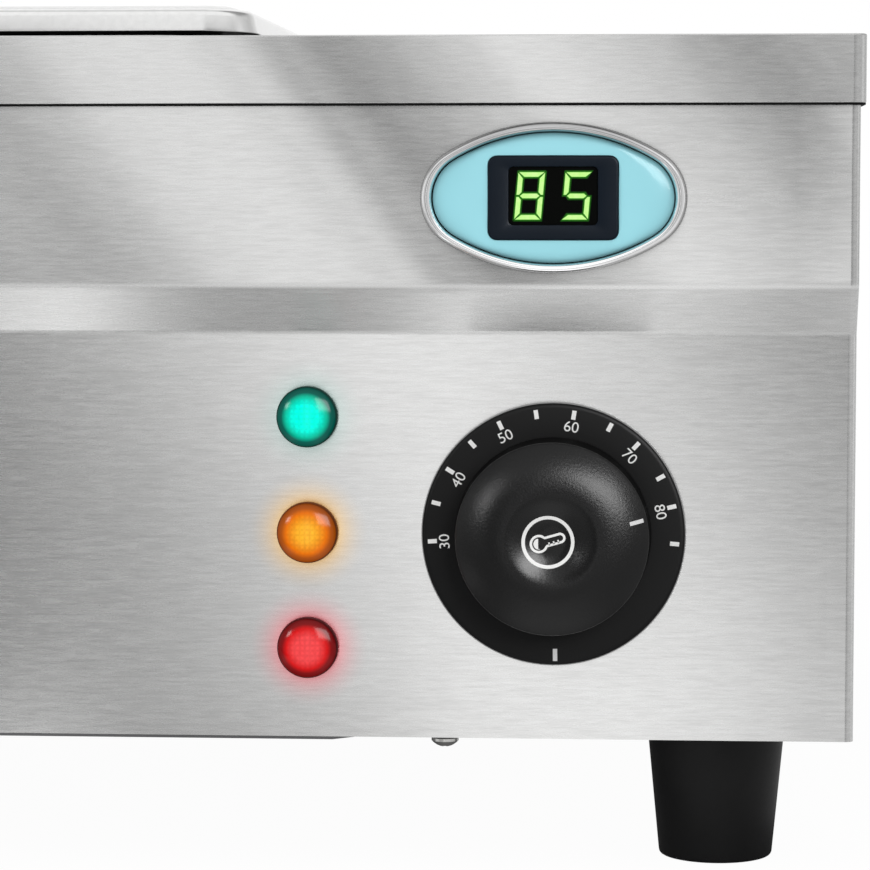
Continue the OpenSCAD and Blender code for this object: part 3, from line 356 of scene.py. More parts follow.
lensFinish = {
    "green": {"centre": (0.0, 0.95, 0.74), "mid": (0.0, 0.48, 0.31), "rim": (0.0, 0.10, 0.074), "core": 0.42},
    "amber": {"centre": (0.93, 0.43, 0.026), "mid": (0.74, 0.155, 0.001), "rim": (0.38, 0.075, 0.003), "core": 0.26},
    "red": {"centre": (0.84, 0.064, 0.068), "mid": (0.62, 0.006, 0.007), "rim": (0.20, 0.003, 0.004), "core": 0.40},
}
lensWeave = {"pitch": 1.3, "depth": 0.08, "base": 0.83, "speckle": 0.34, "shine": 0.95, "unlit": 0.16, "gloss": 0.13}


def litLens(name, colors, centre, radius, v):
    mat, tree, shader = startMaterial(name, colors["mid"], 0.0, 0.16)
    away = vec(tree, "MULTIPLY", objectPlace(tree, move=tuple(-c * mm for c in centre)), (1, 0, 1))
    share = math2(tree, "DIVIDE", vec(tree, "LENGTH", away), radius * mm)
    glow = ramp(tree, share, [(0.0, colors["centre"]), (colors["core"], colors["centre"]), (0.67, colors["mid"]),
                              (0.81, colors["rim"]), (1.0, scaled(colors["rim"], 0.5))])
    x, _, z = split(tree, away)
    threads = [math2(tree, "SINE", mul(tree, axis, 2 * math.pi / (v["pitch"] * mm))) for axis in (x, z)]
    mesh = line(tree, math2(tree, "MINIMUM", *threads), v["depth"], v["base"])
    weave = line(tree, grain(tree, (1500, 1500, 900), 2.0), v["speckle"], mesh)
    inside = fade(tree, share, 0.5, 0.85, 1.0, 0.0, "LINEAR")
    color = times(tree, glow, mixColor(tree, inside, plainWhite, weave))
    feed(tree, shader, {"Base Color": times(tree, color, grey(v["unlit"])), "Emission Color": color,
                        "Emission Strength": v["shine"], "Specular IOR Level": v["gloss"]})
    setBump(tree, shader, mul(tree, weave, inside), 0.10, 0.06)
    return mat


def litDigits(name, dim, bright):
    mat, tree, shader = startMaterial(name, dim, 0.0, 0.4)
    tone = ramp(tree, grain(tree, 700, 2.0), [(0.3, dim), (0.7, bright)])
    feed(tree, shader, {"Base Color": plainBlack, "Specular IOR Level": 0.05, "Emission Color": tone,
                        "Emission Strength": 1.0})
    return mat


casingFront = brushedSteel("casing_steel_front", 0, front=True, glow=True)
casingAcross = brushedSteel("casing_steel_across", 0, front=True)
casingSide = brushedSteel("casing_steel_side", 1)
casingRear = brushedSteel("casing_steel_rear", 0)
panSteel = sheetSteel("pan_steel_satin", (0.82, 0.82, 0.815), 0.24, 500, 0.04)
# painted shade: the lids' undersides are near black, for the shade in the gap under their edges
lidUndersideShade = sheetSteel("lid_underside_painted_shade", (0.03, 0.03, 0.03), 0.55, 700, 0.08)
tankSteel = sheetSteel("tank_steel_dull", (0.66, 0.67, 0.67), 0.36, (8, 900, 900))
# painted shade: the base plate is dark, so that its edge under the front panel reads as a shadow line
baseShadeSteel = sheetSteel("base_steel_painted_shade", (0.20, 0.20, 0.205), 0.45, (8, 900, 900))
handleSteel = sheetSteel("handle_steel_drawn", (0.76, 0.76, 0.75), 0.22, (6, 1400, 1400))
elementSteel = sheetSteel("element_heat_dark", (0.30, 0.28, 0.26), 0.42, 60, 0.25)
zincPlate = castMetal("zinc_plate", (0.66, 0.66, 0.64), 0.30)
chromeTrim = castMetal("chrome_trim", (0.86, 0.87, 0.88), 0.10, 0.01)
chromeTap = castMetal("chrome_tap", (0.78, 0.78, 0.79), 0.13, 0.03)
brassTurned = castMetal("brass_turned", (0.74, 0.52, 0.22), 0.28)
copperDrawn = castMetal("copper_drawn", (0.72, 0.36, 0.20), 0.34)
ringChrome = platedRing("display_ring_chrome", (0.95, 0.95, 0.955), 0.13)
footRubber = moulded("foot_rubber_black", (0.0095, 0.0095, 0.0098), 0.50, 900.0, 0.20, 0.2, gloss=0.16)
dialBlack = moulded("dial_plate_black", (0.0035, 0.0035, 0.0037), 0.46, 2200.0, 0.06, gloss=0.13)
# painted highlight: the dial plate's edge chamfer is a light, glossy grey
dialEdgeHighlight = moulded("dial_edge_painted_highlight", (0.24, 0.24, 0.24), 0.35, 2200.0, 0.06, gloss=0.8)
knobBlack = moulded("knob_satin_black", (0.0033, 0.0033, 0.0035), 0.33, 1700.0, 1.0, gloss=0.24)
knobDish = moulded("knob_dish_worn", (0.0033, 0.0033, 0.0035), 0.27, 1300.0, 0.5, gloss=0.28)
# painted shade: the knob's side wall takes a darker, duller copy of its black
knobSideShade = moulded("knob_side_painted_shade", (0.002, 0.002, 0.002), 0.75, 2600.0, 0.16, gloss=0.04)
inkWhite = moulded("printed_white", (0.80, 0.80, 0.79), 0.55, 3000.0, 0.05, 0.05)
inkGrey = moulded("printed_grey", (0.66, 0.66, 0.66), 0.55, 3000.0, 0.05, 0.05)
faceBlue = moulded("display_pale_blue", (0.335, 0.71, 0.79), 0.24, 1200.0, 0.02, 0.03, 0.12, 0.12)
windowFrame = moulded("window_navy", (0.0055, 0.0095, 0.016), 0.30, 1500.0, 0.0, gloss=0.08)
windowField = moulded("window_field", (0.0006, 0.0009, 0.0006), 0.30, 1500.0, 0.03, gloss=0.03)
# painted shade: each lens's side wall takes a darker, duller copy of its rim colour
lensSideShades = {name: moulded("lens_side_painted_shade_" + name, scaled(colors["rim"], 0.35), 0.5, 900.0, 0.05, gloss=0.08)
             for name, colors in lensFinish.items()}
# painted shade: the inner wall of the display ring, where it meets the face, is near black
grooveShade = moulded("groove_painted_shade", (0.001, 0.001, 0.001), 0.8, 900.0, gloss=0.03)
# painted shadow: black for the bead under the deck's skirt
skirtShadowBlack = moulded("skirt_painted_shadow", (0.004, 0.004, 0.004), 0.7, 900.0, 0.15, gloss=0.1)
insulator = moulded("insulator_white", (0.78, 0.76, 0.70), 0.55, 700.0)
cutoutBlack = moulded("cutout_black", (0.02, 0.02, 0.021), 0.5)
glandBlack = moulded("gland_black", (0.022, 0.022, 0.023), 0.48, 1000.0, 0.12)
gasketRubber = moulded("gasket_rubber", (0.03, 0.03, 0.03), 0.7, 800.0, 0.2)
gripRed = moulded("grip_red_vinyl", (0.50, 0.025, 0.022), 0.42, 700.0, 0.12)
coreGreen = litDigits("digit_cores_lit", (0.54, 1.0, 0.26), (0.68, 1.0, 0.38))
digitGlow = litDigits("digit_segments_lit", (0.05, 0.34, 0.02), (0.08, 0.42, 0.03))
haloGreen = litDigits("digit_halo", (0.010, 0.075, 0.006), (0.016, 0.10, 0.010))
print("finishes made")

mergeReach = 2e-6   # metres
samePlace = 2e-5


# mesh helpers, all in millimetres
def openMesh(mesh):
    work = bmesh.new()
    work.from_mesh(mesh)
    bmesh.ops.remove_doubles(work, verts=work.verts, dist=mergeReach)
    return work


def closeMesh(work, mesh, sharp=None):
    bmesh.ops.recalc_face_normals(work, faces=work.faces)
    work.to_mesh(mesh)
    work.free()
    if sharp:
        mesh.shade_smooth()
        mesh.set_sharp_from_angle(angle=math.radians(sharp))


def linkPiece(name, mesh, body, replaced=()):
    piece = addObject(name, mesh)
    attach(piece, body)
    if replaced:
        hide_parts(*replaced)
    return piece


def addPiece(name, shape, materials, body, replaced=(), sharp=40, picks=None):
    # picks: the faces that take each material after the first
    verts, faces = shape
    mesh = bpy.data.meshes.new(name)
    mesh.from_pydata([(x * mm, y * mm, z * mm) for x, y, z in verts], [], faces)
    for material in materials:
        mesh.materials.append(material)
    for index, chosen in (picks or {}).items():
        for i in chosen:
            mesh.polygons[i].material_index = index
    closeMesh(openMesh(mesh), mesh, sharp)
    return linkPiece(name, mesh, body, replaced)


def join(shape, more):
    start = len(shape[0])
    return shape[0] + more[0], shape[1] + [tuple(start + i for i in face) for face in more[1]]


def loftMesh(rings, caps=True, closed=False):
    verts = [p for ring in rings for p in ring]
    n, count = len(rings[0]), len(rings)
    faces = []
    for i in range(count if closed else count - 1):
        k = (i + 1) % count
        for j in range(n):
            faces.append((i * n + j, i * n + (j + 1) % n, k * n + (j + 1) % n, k * n + j))
    if caps and not closed:
        faces += [tuple(reversed(range(n))), tuple(range((count - 1) * n, count * n))]
    return verts, faces


def softProfile(points, steps=4):
    # points: (u, v, radius); each corner becomes a short curve
    out = []
    for i, (u, v, radius) in enumerate(points):
        here = Vector((u, v))
        if radius <= 0 or i in (0, len(points) - 1):
            out.append((u, v))
            continue
        before = Vector(points[i - 1][:2]) - here
        after = Vector(points[i + 1][:2]) - here
        a = here + before.normalized() * min(radius, before.length * 0.48)
        b = here + after.normalized() * min(radius, after.length * 0.48)
        for s in range(steps + 1):
            t = s / steps
            out.append(tuple(a * (1 - t) ** 2 + here * 2 * t * (1 - t) + b * t ** 2))
    return out


def polar(r, degrees):
    return r * math.cos(math.radians(degrees)), r * math.sin(math.radians(degrees))


def arc(cx, cy, r, start, end, steps, tall=None):
    turns = [math.radians(start + (end - start) * i / steps) for i in range(steps + 1)]
    return [(cx + r * math.cos(a), cy + (tall or r) * math.sin(a)) for a in turns]


def rectRing(w, d, r, z, cx=0.0, cy=0.0, k=8):
    r = max(r, 0.02)
    ring = []
    for sx, sy, start in ((1, 1, 0), (-1, 1, 90), (-1, -1, 180), (1, -1, 270)):
        corner = arc(cx + sx * (w / 2 - r), cy + sy * (d / 2 - r), r, start, start + 90, k)
        ring += [(x, y, z) for x, y in corner]
    return ring


def lathe(profile, place, n=96, closed=False):
    rings = [[place(*polar(r, 360 * j / n), h) for j in range(n)] for r, h in profile]
    return loftMesh(rings, False, closed)


def frontPlace(cx, y, cz):
    # x to the right, y up, h out of the front
    return lambda px, py, h: (cx + px, y - h, cz + py)


def tube(path, radius, n=20):
    # path: points of a smooth run that stays in one upright plane along X
    rings = []
    side = Vector((0, 1, 0))
    for i, p in enumerate(path):
        run = Vector(path[min(i + 1, len(path) - 1)]) - Vector(path[max(i - 1, 0)])
        up = run.normalized().cross(side).normalized()
        turns = [polar(radius, 360 * j / n) for j in range(n)]
        rings.append([tuple(Vector(p) + side * c + up * s) for c, s in turns])
    return loftMesh(rings)


def brushMap(mesh):
    # U runs across the brushing, which is the way the highlights stretch
    layer = mesh.uv_layers.new(name="brush")
    for face in mesh.polygons:
        flat = max(range(3), key=lambda i: abs(face.normal[i]))
        u, v = {0: (2, 1), 1: (2, 0), 2: (1, 0)}[flat]
        for corner in face.loop_indices:
            p = mesh.vertices[mesh.loops[corner].vertex_index].co
            layer.data[corner].uv = (p[u] * 4, p[v] * 4)


def nodeCopy(name, node, material):
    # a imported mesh, merged and with its flat faces whole
    mesh = nodes[node].data.copy()
    mesh.name = name
    mesh.materials.clear()
    mesh.materials.append(material)
    work = openMesh(mesh)
    bmesh.ops.dissolve_limit(work, angle_limit=math.radians(0.4), verts=work.verts, edges=work.edges)
    return mesh, work


def closeCopy(work, mesh, sharp=None):
    bmesh.ops.triangulate(work, faces=[f for f in work.faces if len(f.verts) > 4])
    closeMesh(work, mesh, sharp)


def sheetCopy(name, node, material, body, bends=()):
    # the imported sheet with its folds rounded; bends: (test for an edge, width, steps)
    mesh, work = nodeCopy(name, node, material)
    for pick, width, steps in bends:
        chosen = [e for e in work.edges if len(e.link_faces) == 2 and e.calc_face_angle(0) > 0.15 and pick(e)]
        bmesh.ops.bevel(work, geom=chosen, offset=width * mm, segments=steps, profile=0.5, affect="EDGES",
                        clamp_overlap=True)
    closeCopy(work, mesh, 35)
    while mesh.uv_layers:
        mesh.uv_layers.remove(mesh.uv_layers[0])
    brushMap(mesh)
    piece = linkPiece(name, mesh, body, (node,))
    piece.modifiers.new("faceNormals", "WEIGHTED_NORMAL").keep_sharp = True


def atHeight(z):
    return lambda e: all(abs(v.co.z - z * mm) < samePlace for v in e.verts)


def sharpEdge(limit):
    return lambda e: e.calc_face_angle(0) > math.radians(limit)


def deckRim(z, v):
    level = atHeight(z)

    def outer(p):
        return max(abs(p.co.x) / (v["halfWidth"] * mm), abs(p.co.y - v["midY"] * mm) / (v["halfDepth"] * mm)) >= 0.98
    return lambda e: level(e) and all(outer(p) for p in e.verts)


deckEdge = {"top": 213.0, "bend": 0.4, "low": 196.0, "lowBend": 0.25, "halfWidth": 360.0, "midY": 10.5,
            "halfDepth": 197.5}
stepFold = {"top": 150.5, "topBend": 1.0, "low": 138.5, "lowBend": 0.7}
casingSheets = {
    "topDeck": ("top_deck", casingAcross, [(deckRim(deckEdge["top"], deckEdge), deckEdge["bend"], 5),
                                           (deckRim(deckEdge["low"], deckEdge), deckEdge["lowBend"], 2)]),
    "frontPanel": ("front_panel", casingFront, [(atHeight(stepFold["top"]), stepFold["topBend"], 5),
                                                (atHeight(stepFold["low"]), stepFold["lowBend"], 3)]),
    "leftPanel": ("left_panel", casingSide, []), "rightPanel": ("right_panel", casingSide, []),
    "rearPanel": ("rear_panel", casingRear, []),
}
for name, (node, material, bends) in casingSheets.items():
    sheetCopy(name, node, material, "casing", bends)

skirtShadowBead = {"low": 195.45, "high": 196.0, "outside": 0.12, "width": 1.2, "w": 720.0, "d": 395.0, "corner": 3.4,
             "y": 10.5}


def addSkirtShadowBead(v):
    # a black bead in the slit under the deck's skirt: a painted shadow line where there is only shade
    o, i = v["outside"], v["outside"] + v["width"]
    section = softProfile([(i, v["high"], 0), (o, v["high"], 0.1), (o, v["low"], 0.3), (i, v["low"], 0.1),
                           (i, v["high"], 0)], 3)[:-1]
    rings = [rectRing(v["w"] - 2 * q, v["d"] - 2 * q, v["corner"] - q, z, 0, v["y"], 6) for q, z in section]
    addPiece("skirtShadowBead", loftMesh(rings, closed=True), [skirtShadowBlack], "casing", (), 50)


addSkirtShadowBead(skirtShadowBead)
cornerBend = {"x": 358.6, "radius": 2.0, "front": 7.0, "side": 6.0, "flat": 0.2, "proud": 0.05, "sunk": 0.2,
              "low": 35.0, "high": 195.4, "lowY": -177.6, "highY": -185.6}


def addCornerBends(v, fold):
    # the planished seam round each front corner of the casing
    run = softProfile([(v["lowY"], v["low"], 0), (v["lowY"], fold["low"], fold["lowBend"]),
                       (v["highY"], fold["top"], fold["topBend"]), (v["highY"], v["high"], 0)], 6)
    x, r = v["x"], v["radius"]
    land = r + v["flat"]
    for name, side in (("left", -1), ("right", 1)):
        rings = []
        for y, z in run:
            ring = []
            for out, order in ((v["proud"], 1), (-v["sunk"], -1)):
                path = [(x - v["front"], y - out), (x - land, y - out)] + arc(x - r, y + r, r + out, -90, 0, 8)
                path += [(x + out, y + land), (x + out, y + v["side"])]
                ring += [(side * px, py, z) for px, py in path[::order]]
            rings.append(ring)
        piece = addPiece("cornerBend." + name, loftMesh(rings), [casingFront], "casing", ())
        brushMap(piece.data)


addCornerBends(cornerBend, stepFold)
baseFront = {"y": -176.1, "back": -168.0, "from": 226.0, "to": 236.0}


def addBasePlate(v):
    # the plate's front edge is cut back towards the right foot
    mesh, work = nodeCopy("basePlate", "base_plate", baseShadeSteel)
    for x in (v["from"], v["to"]):
        everything = list(work.verts) + list(work.edges) + list(work.faces)
        bmesh.ops.bisect_plane(work, geom=everything, plane_co=(x * mm, 0, 0), plane_no=(1, 0, 0), dist=1e-6)
    for p in work.verts:
        if abs(p.co.y - v["y"] * mm) < samePlace and p.co.x > v["to"] * mm - samePlace:
            p.co.y = v["back"] * mm
    closeCopy(work, mesh)
    linkPiece("basePlate", mesh, "casing", ("base_plate",))


addBasePlate(baseFront)
print("casing sheets folded")

footShape = {"height": 34.0, "top": 18.0, "bottom": 14.75, "round": 1.2, "recess": 7.0, "recessDepth": 12.0,
             "bore": 3.15, "x": 324.6, "front": -147.1, "rear": 172.6}


def addFeet(v):
    profile = [(v["bore"], v["height"]), (v["bore"], v["recessDepth"])] + softProfile([
        (v["recess"], v["recessDepth"], 0), (v["recess"], 0, 0.6), (v["bottom"], 0, v["round"]),
        (v["top"], v["height"], 0.5), (v["bore"], v["height"], 0)], 6)
    for row in ("front", "rear"):
        for side, cx in (("left", -v["x"]), ("right", v["x"])):
            shape = lathe(profile, lambda px, py, h: (cx + px, v[row] + py, h), 72)
            name = row + "_" + side
            addPiece("foot." + name, shape, [footRubber], "casing", ("foot_" + name,))


addFeet(footShape)
print("feet turned")

panShape = {"w": 176.0, "d": 325.0, "corner": 26.0, "flange": 11.5, "sheet": 0.8, "lean": 16.5, "floorR": 6.0,
            "deckZ": 213.0, "flangeZ": 215.0, "floorZ": 115.0, "x": -61.0, "pitch": 177.0, "y": 10.5}
lidShape = {"inset": 1.3, "corner": 13.0, "edgeZ": 217.1, "topZ": 223.1, "hem": 0.4, "bow": 1.4, "slope": 1.0,
            "crown": 1.6, "bead": 8.0, "wellZ": 214.4, "pocketZ": 206.0, "pocketW": 99.0, "pocketL": 64.0,
            "pocketR": 12.0}
handleShape = {"rod": 3.5, "halfWidth": 38.0, "height": 24.0, "bend": 9.8}


def ringsFrom(profile, w, d, r, cx, cy, bow=0.0, bowTo=8.0, rimR=0.0, rimTo=0.0):
    # profile of (inset, height) carried round a rounded rectangle; the outer rim droops to its corners by the bow,
    # and has a corner radius of its own
    rings = []
    for o, z in profile:
        ring = rectRing(w - 2 * o, d - 2 * o, (rimR if o < rimTo else r) - o, z, cx, cy)
        share = bow * min(1.0, max(0.0, (bowTo - o) / (bowTo / 2)))
        if share > 0:
            ring = [(x, y, h - share * (4 * (x - cx) * (y - cy) / (w * d)) ** 2) for x, y, h in ring]
        rings.append(ring)
    return rings


def addPan(name, cx, v):
    t, r = v["sheet"], v["floorR"]
    bend, bendZ = v["lean"] + r, v["floorZ"] + r
    profile = [(bend + 4, v["floorZ"] + t), (bend, v["floorZ"] + t)] + arc(bend, bendZ, r - t, 270, 180, 6)[1:]
    profile += softProfile([profile[-1] + (0,), (v["flange"] + t, v["flangeZ"], 2.2), (0, v["flangeZ"], 0.9),
                            (0, v["deckZ"], 0.3), (t, v["deckZ"], 0.3), (t, v["flangeZ"] - t, 0.4),
                            (v["flange"], v["flangeZ"] - t, 1.8), (v["lean"], bendZ, 0)], 5)[1:]
    profile += arc(bend, bendZ, r, 180, 270, 6)[1:]
    shape = loftMesh(ringsFrom(profile, v["w"], v["d"], v["corner"], cx, v["y"]))
    addPiece("pan." + name, shape, [panSteel], name + "_pan", ("pan_" + name,), 50)


def addLid(name, cx, v, p):
    t, y = p["sheet"], p["y"]
    top, edge, wellZ, pocketZ = v["topZ"], v["edgeZ"], v["wellZ"], v["pocketZ"]
    mouth = p["flange"] + t - v["inset"] + 0.3
    well = mouth + 1.8
    bead = v["bead"]
    seat, seatZ = bead + t + 0.5, p["flangeZ"]
    slope, half = v["slope"], v["crown"] / 2
    rim = softProfile([
        (well + 8, wellZ, 0), (well + t, wellZ, 1.2), (mouth + t, seatZ + t, 0.7), (seat + t, seatZ + t, 1.3),
        (bead + t, top - t / 2, 0.9), (bead, top, 0.9), (slope + 2 * half, top, 1.4), (slope, top - half, 1.2),
        (0, edge + v["hem"], 0.6), (0, edge, 0.35), (t, edge, 0.35), (t, edge + v["hem"], 0.5),
        (slope + t, top - t - half, 1.0), (slope + 2 * half, top - t, 1.0), (bead - 0.2, top - t, 0.6),
        (bead, top - 1.5 * t, 0.5), (seat, seatZ, 0.9), (mouth, seatZ, 0.6), (well, wellZ - t, 1.0),
        (well + 8, wellZ - t, 0)], 4)
    inner = softProfile([(6, pocketZ, 0), (0, pocketZ, 1.6), (0, wellZ, 1.2), (-5, wellZ, 0)], 5)
    outer = softProfile([(-5, wellZ - t, 0), (-t, wellZ - t, 1.2), (-t, pocketZ - t, 1.9), (6, pocketZ - t, 0)], 5)
    pocket = (v["pocketW"], v["pocketL"], v["pocketR"], cx, y)
    rings = ringsFrom(inner, *pocket) + ringsFrom(
        rim, p["w"] - 2 * v["inset"], p["d"] - 2 * v["inset"], p["corner"] - v["inset"], cx, y, v["bow"], bead,
        v["corner"], seat + t + 0.1) + ringsFrom(outer, *pocket)
    shape = loftMesh(rings)
    hemAt = max(i for i, (o, z) in enumerate(rim) if o < t * 0.6)
    under, count = (len(inner) + hemAt) * len(rings[0]), len(shape[1])
    addPiece("lid." + name, shape, [panSteel, lidUndersideShade], name + "_lid", ("lid_" + name,), 50,
             {1: range(under, count), 0: [count - 2]})


def addHandle(name, cx, v, p, lid):
    base, rod, x, b = lid["pocketZ"], v["rod"], v["halfWidth"], v["bend"]
    path = [(-x, base), (-x, base + 3)] + arc(b - x, base + v["height"] - rod - b, b, 180, 90, 10)
    path += [(-q, z) for q, z in reversed(path)]
    shape = tube([(cx + q, p["y"], z) for q, z in path], rod)
    bead = softProfile([(rod - 0.4, base + 2.0, 0), (rod + 0.3, base + 0.7, 0.8), (rod + 1.7, base, 0),
                        (rod - 0.4, base, 0)], 4)
    for post in (cx - x, cx + x):   # weld bead round each post
        shape = join(shape, lathe(bead, lambda px, py, h: (post + px, p["y"] + py, h), 24, True))
    addPiece("lidHandle." + name, shape, [handleSteel], name + "_lid", ("lid_handle_" + name,), 50)


for i, name in enumerate(("left", "middle", "right")):
    cx = panShape["x"] + (i - 1) * panShape["pitch"]
    addPan(name, cx, panShape)
    addLid(name, cx, lidShape, panShape)
    addHandle(name, cx, handleShape, panShape, lidShape)
print("pans, lids and handles made")

# ticks: length, width and thickness; angles in degrees from the right
dial = {"x": 282.6, "z": 87.6, "y": -177.6, "radius": 33.5, "thick": 2.4, "web": 20.0, "webThick": 1.2, "bore": 5.3,
        "tickRadius": 30.7, "tick": (2.3, 1.08, 0.06), "offTick": (3.1, 1.12, 0.06),
        "ticks": [183.6, 165.3, 148.5, 132.0, 116.0, 98.2, 80.4, 62.5, 47.3, 28.4, 13.5, -4.1], "off": [271.0],
        "numbers": {"30": 184.0, "40": 150.3, "50": 116.0, "60": 80.6, "70": 46.0, "80": 12.3},
        "numberRadius": 27.7, "capHeight": 2.65, "numberWide": 1.04, "round": 128}
dialPlace = frontPlace(dial["x"], dial["y"], dial["z"])


def addDialPlate(v):
    r, t, n = v["radius"], v["thick"], v["round"]
    face = [(v["bore"], 0), (v["bore"], v["webThick"])] + softProfile(
        [(v["bore"], v["webThick"], 0), (v["web"], v["webThick"], 0.3), (v["web"], t, 0.3), (r - 0.8, t, 0.7),
         (r - 0.25, t - 0.6, 0)], 4)
    shape = lathe(face + [(r, t - 0.9), (r, 0), (v["bore"], 0)], dialPlace, n)
    edge = len(face) - 1
    addPiece("dialPlate", shape, [dialBlack, dialEdgeHighlight], "casing", ("dial_plate",), 40,
             {1: range(edge * n, (edge + 2) * n)})


def tickTree(material):
    tree = bpy.data.node_groups.new("dialTicks", "GeometryNodeTree")
    tree.interface.new_socket("Geometry", in_out="INPUT", socket_type="NodeSocketGeometry")
    size = tree.interface.new_socket("Tick size", in_out="INPUT", socket_type="NodeSocketVector")
    tree.interface.new_socket("Geometry", in_out="OUTPUT", socket_type="NodeSocketGeometry")
    entry = put(tree, "NodeGroupInput").outputs
    bar = put(tree, "GeometryNodeMeshCube", Size=entry[1])
    turn = put(tree, "GeometryNodeInputNamedAttribute", {"data_type": "FLOAT"}, Name="turn")
    about = put(tree, "ShaderNodeCombineXYZ", Y=turn.outputs[0])
    points = put(tree, "GeometryNodeMeshToPoints", Mesh=entry[0])
    spread = put(tree, "GeometryNodeInstanceOnPoints", Points=points.outputs[0], Instance=bar.outputs[0],
                 Rotation=about.outputs[0])
    real = put(tree, "GeometryNodeRealizeInstances", Geometry=spread.outputs[0])
    dress = put(tree, "GeometryNodeSetMaterial", Geometry=real.outputs[0], Material=material)
    put(tree, "NodeGroupOutput", i0=dress.outputs[0])
    return tree, size.identifier


def plainMesh(holder, name):
    graph = bpy.context.evaluated_depsgraph_get()
    mesh = bpy.data.meshes.new_from_object(holder.evaluated_get(graph))
    mesh.name = name
    bpy.data.objects.remove(holder)
    return mesh


def addTicks(name, angles, v, size, material):
    tree, key = tickTree(material)
    seeds = bpy.data.meshes.new(name + "Seeds")
    spots = [Vector(dialPlace(*polar(v["tickRadius"], a), v["thick"] + 0.01)) * mm for a in angles]
    seeds.from_pydata(spots, [], [])
    turn = seeds.attributes.new("turn", "FLOAT", "POINT")
    turn.data.foreach_set("value", [-math.radians(a) for a in angles])
    holder = addObject(name + "Holder", seeds)
    modifier = holder.modifiers.new("ticks", "NODES")
    modifier.node_group = tree
    modifier[key] = (size[0] * mm, size[2] * mm, size[1] * mm)
    linkPiece(name, plainMesh(holder, name), "casing", ())


def addNumbers(v):
    shape = [], []
    for text, angle in v["numbers"].items():
        curve = bpy.data.curves.new("number" + text, "FONT")
        curve.body = text
        curve.align_x = "CENTER"
        curve.extrude = 0.02
        mesh = plainMesh(addObject("number" + text, curve), "number" + text)
        spans = [(min(p.co[axis] for p in mesh.vertices), max(p.co[axis] for p in mesh.vertices)) for axis in (0, 1)]
        midX, midY = [sum(span) / 2 for span in spans]
        k = v["capHeight"] / (spans[1][1] - spans[1][0])
        spin = Matrix.Rotation(math.radians(angle - 90), 2)
        out = Vector(polar(v["numberRadius"], angle))
        verts = []
        for p in mesh.vertices:
            flat = spin @ Vector(((p.co.x - midX) * k * v["numberWide"], (p.co.y - midY) * k)) + out
            verts.append(dialPlace(flat.x, flat.y, v["thick"] + (0.04 if p.co.z > 0 else -0.02)))
        shape = join(shape, (verts, [face.vertices for face in mesh.polygons]))
        bpy.data.meshes.remove(mesh)
    addPiece("dialNumbers", shape, [inkWhite], "casing", (), 30)


knob = {"radius": 24.75, "start": 3.2, "rim": 1.0, "top": 19.5, "land": 12.9, "edge": 24.1, "edgeDrop": 4.9,
        "dish": 12.0, "dishFlat": 3.0, "dishDepth": 2.3, "print": 0.05, "sunk": 0.05, "round": 144,
        "under": [(0, 15.0), (3.05, 15.0), (3.05, 4.2), (7.0, 4.2), (7.0, 9.35), (20.5, 9.35), (22.5, 3.2)],
        "pointerFrom": 19.9, "pointerTo": 23.3, "pointerWidth": 0.98, "pointerAngle": 12.4}
# thermometer in a ring, printed in the knob's dish
icon = {"centre": (-0.85, -0.35), "ring": 6.15, "ringStroke": 0.87, "bulb": (-2.25, -0.5), "bulbR": 2.0,
        "end": (4.0, 1.3), "half": 1.05, "stroke": 0.6, "fill": 1.38, "marks": (0.38, 0.56, 0.74), "markLength": 0.75,
        "markStroke": 0.38}


def shoulderHeight(r, v):
    share = max(0.0, (r - v["land"]) / (v["edge"] - v["land"]))
    return v["top"] - v["edgeDrop"] * (0.12 * share + 0.88 * share ** 2.1)


def dishHeight(r, v):
    share = min(1.0, max(0.0, (r - v["dishFlat"]) / (v["dish"] - v["dishFlat"])))
    return v["top"] - v["dishDepth"] * (1 - share * share * (3 - 2 * share))


def addKnob(v):
    r, n, start, under = v["radius"], v["round"], v["start"], v["under"]
    radii = [v["edge"] - (v["edge"] - v["land"]) * i / 22 for i in range(23)]
    dome = [(q, shoulderHeight(q, v)) for q in radii]
    dish = [(q / 2, dishHeight(q / 2, v)) for q in range(int(v["dish"] * 2), -1, -1)]
    side = softProfile([under[-1] + (0,), (r, start, 0.35), (r, start + v["rim"], 0.4),
                        (v["edge"] + 0.12, dome[0][1] - 0.05, 0.55), dome[2] + (0,)], 5)[1:]
    profile = under + side[:-1] + dome[2:] + dish
    wall = len(under) + len(side) - 6
    inside = len(profile) - len(dish)
    shape = lathe(profile, dialPlace, n)
    addPiece("knobBody", shape, [knobBlack, knobSideShade, knobDish], "knob", ("thermostat_knob",), 50,
             {1: range(wall * n), 2: range(inside * n, len(shape[1]))})


def ribbon(strips, height, lift, sunk):
    # strips of (left point, right point) pairs laid on the knob's surface as thin closed bands
    shape = [], []
    for strip in strips:
        closed = strip[0] == strip[-1]
        rings = []
        for left, right in strip[:-1] if closed else strip:
            corners = ((left, lift), (right, lift), (right, -sunk), (left, -sunk))
            rings.append([dialPlace(px, py, height(math.hypot(px, py)) + h) for (px, py), h in corners])
        shape = join(shape, loftMesh(rings, closed=closed))
    return shape


def strokeStrip(points, width, closed=False):
    strip = []
    n = len(points)
    for i, p in enumerate(points):
        a = points[(i - 1) % n] if closed or i > 0 else p
        b = points[(i + 1) % n] if closed or i < n - 1 else p
        run = Vector((b[0] - a[0], b[1] - a[1])).normalized() * (width / 2)
        strip.append(((p[0] - run.y, p[1] + run.x), (p[0] + run.y, p[1] - run.x)))
    if closed:
        strip.append(strip[0])
    return strip


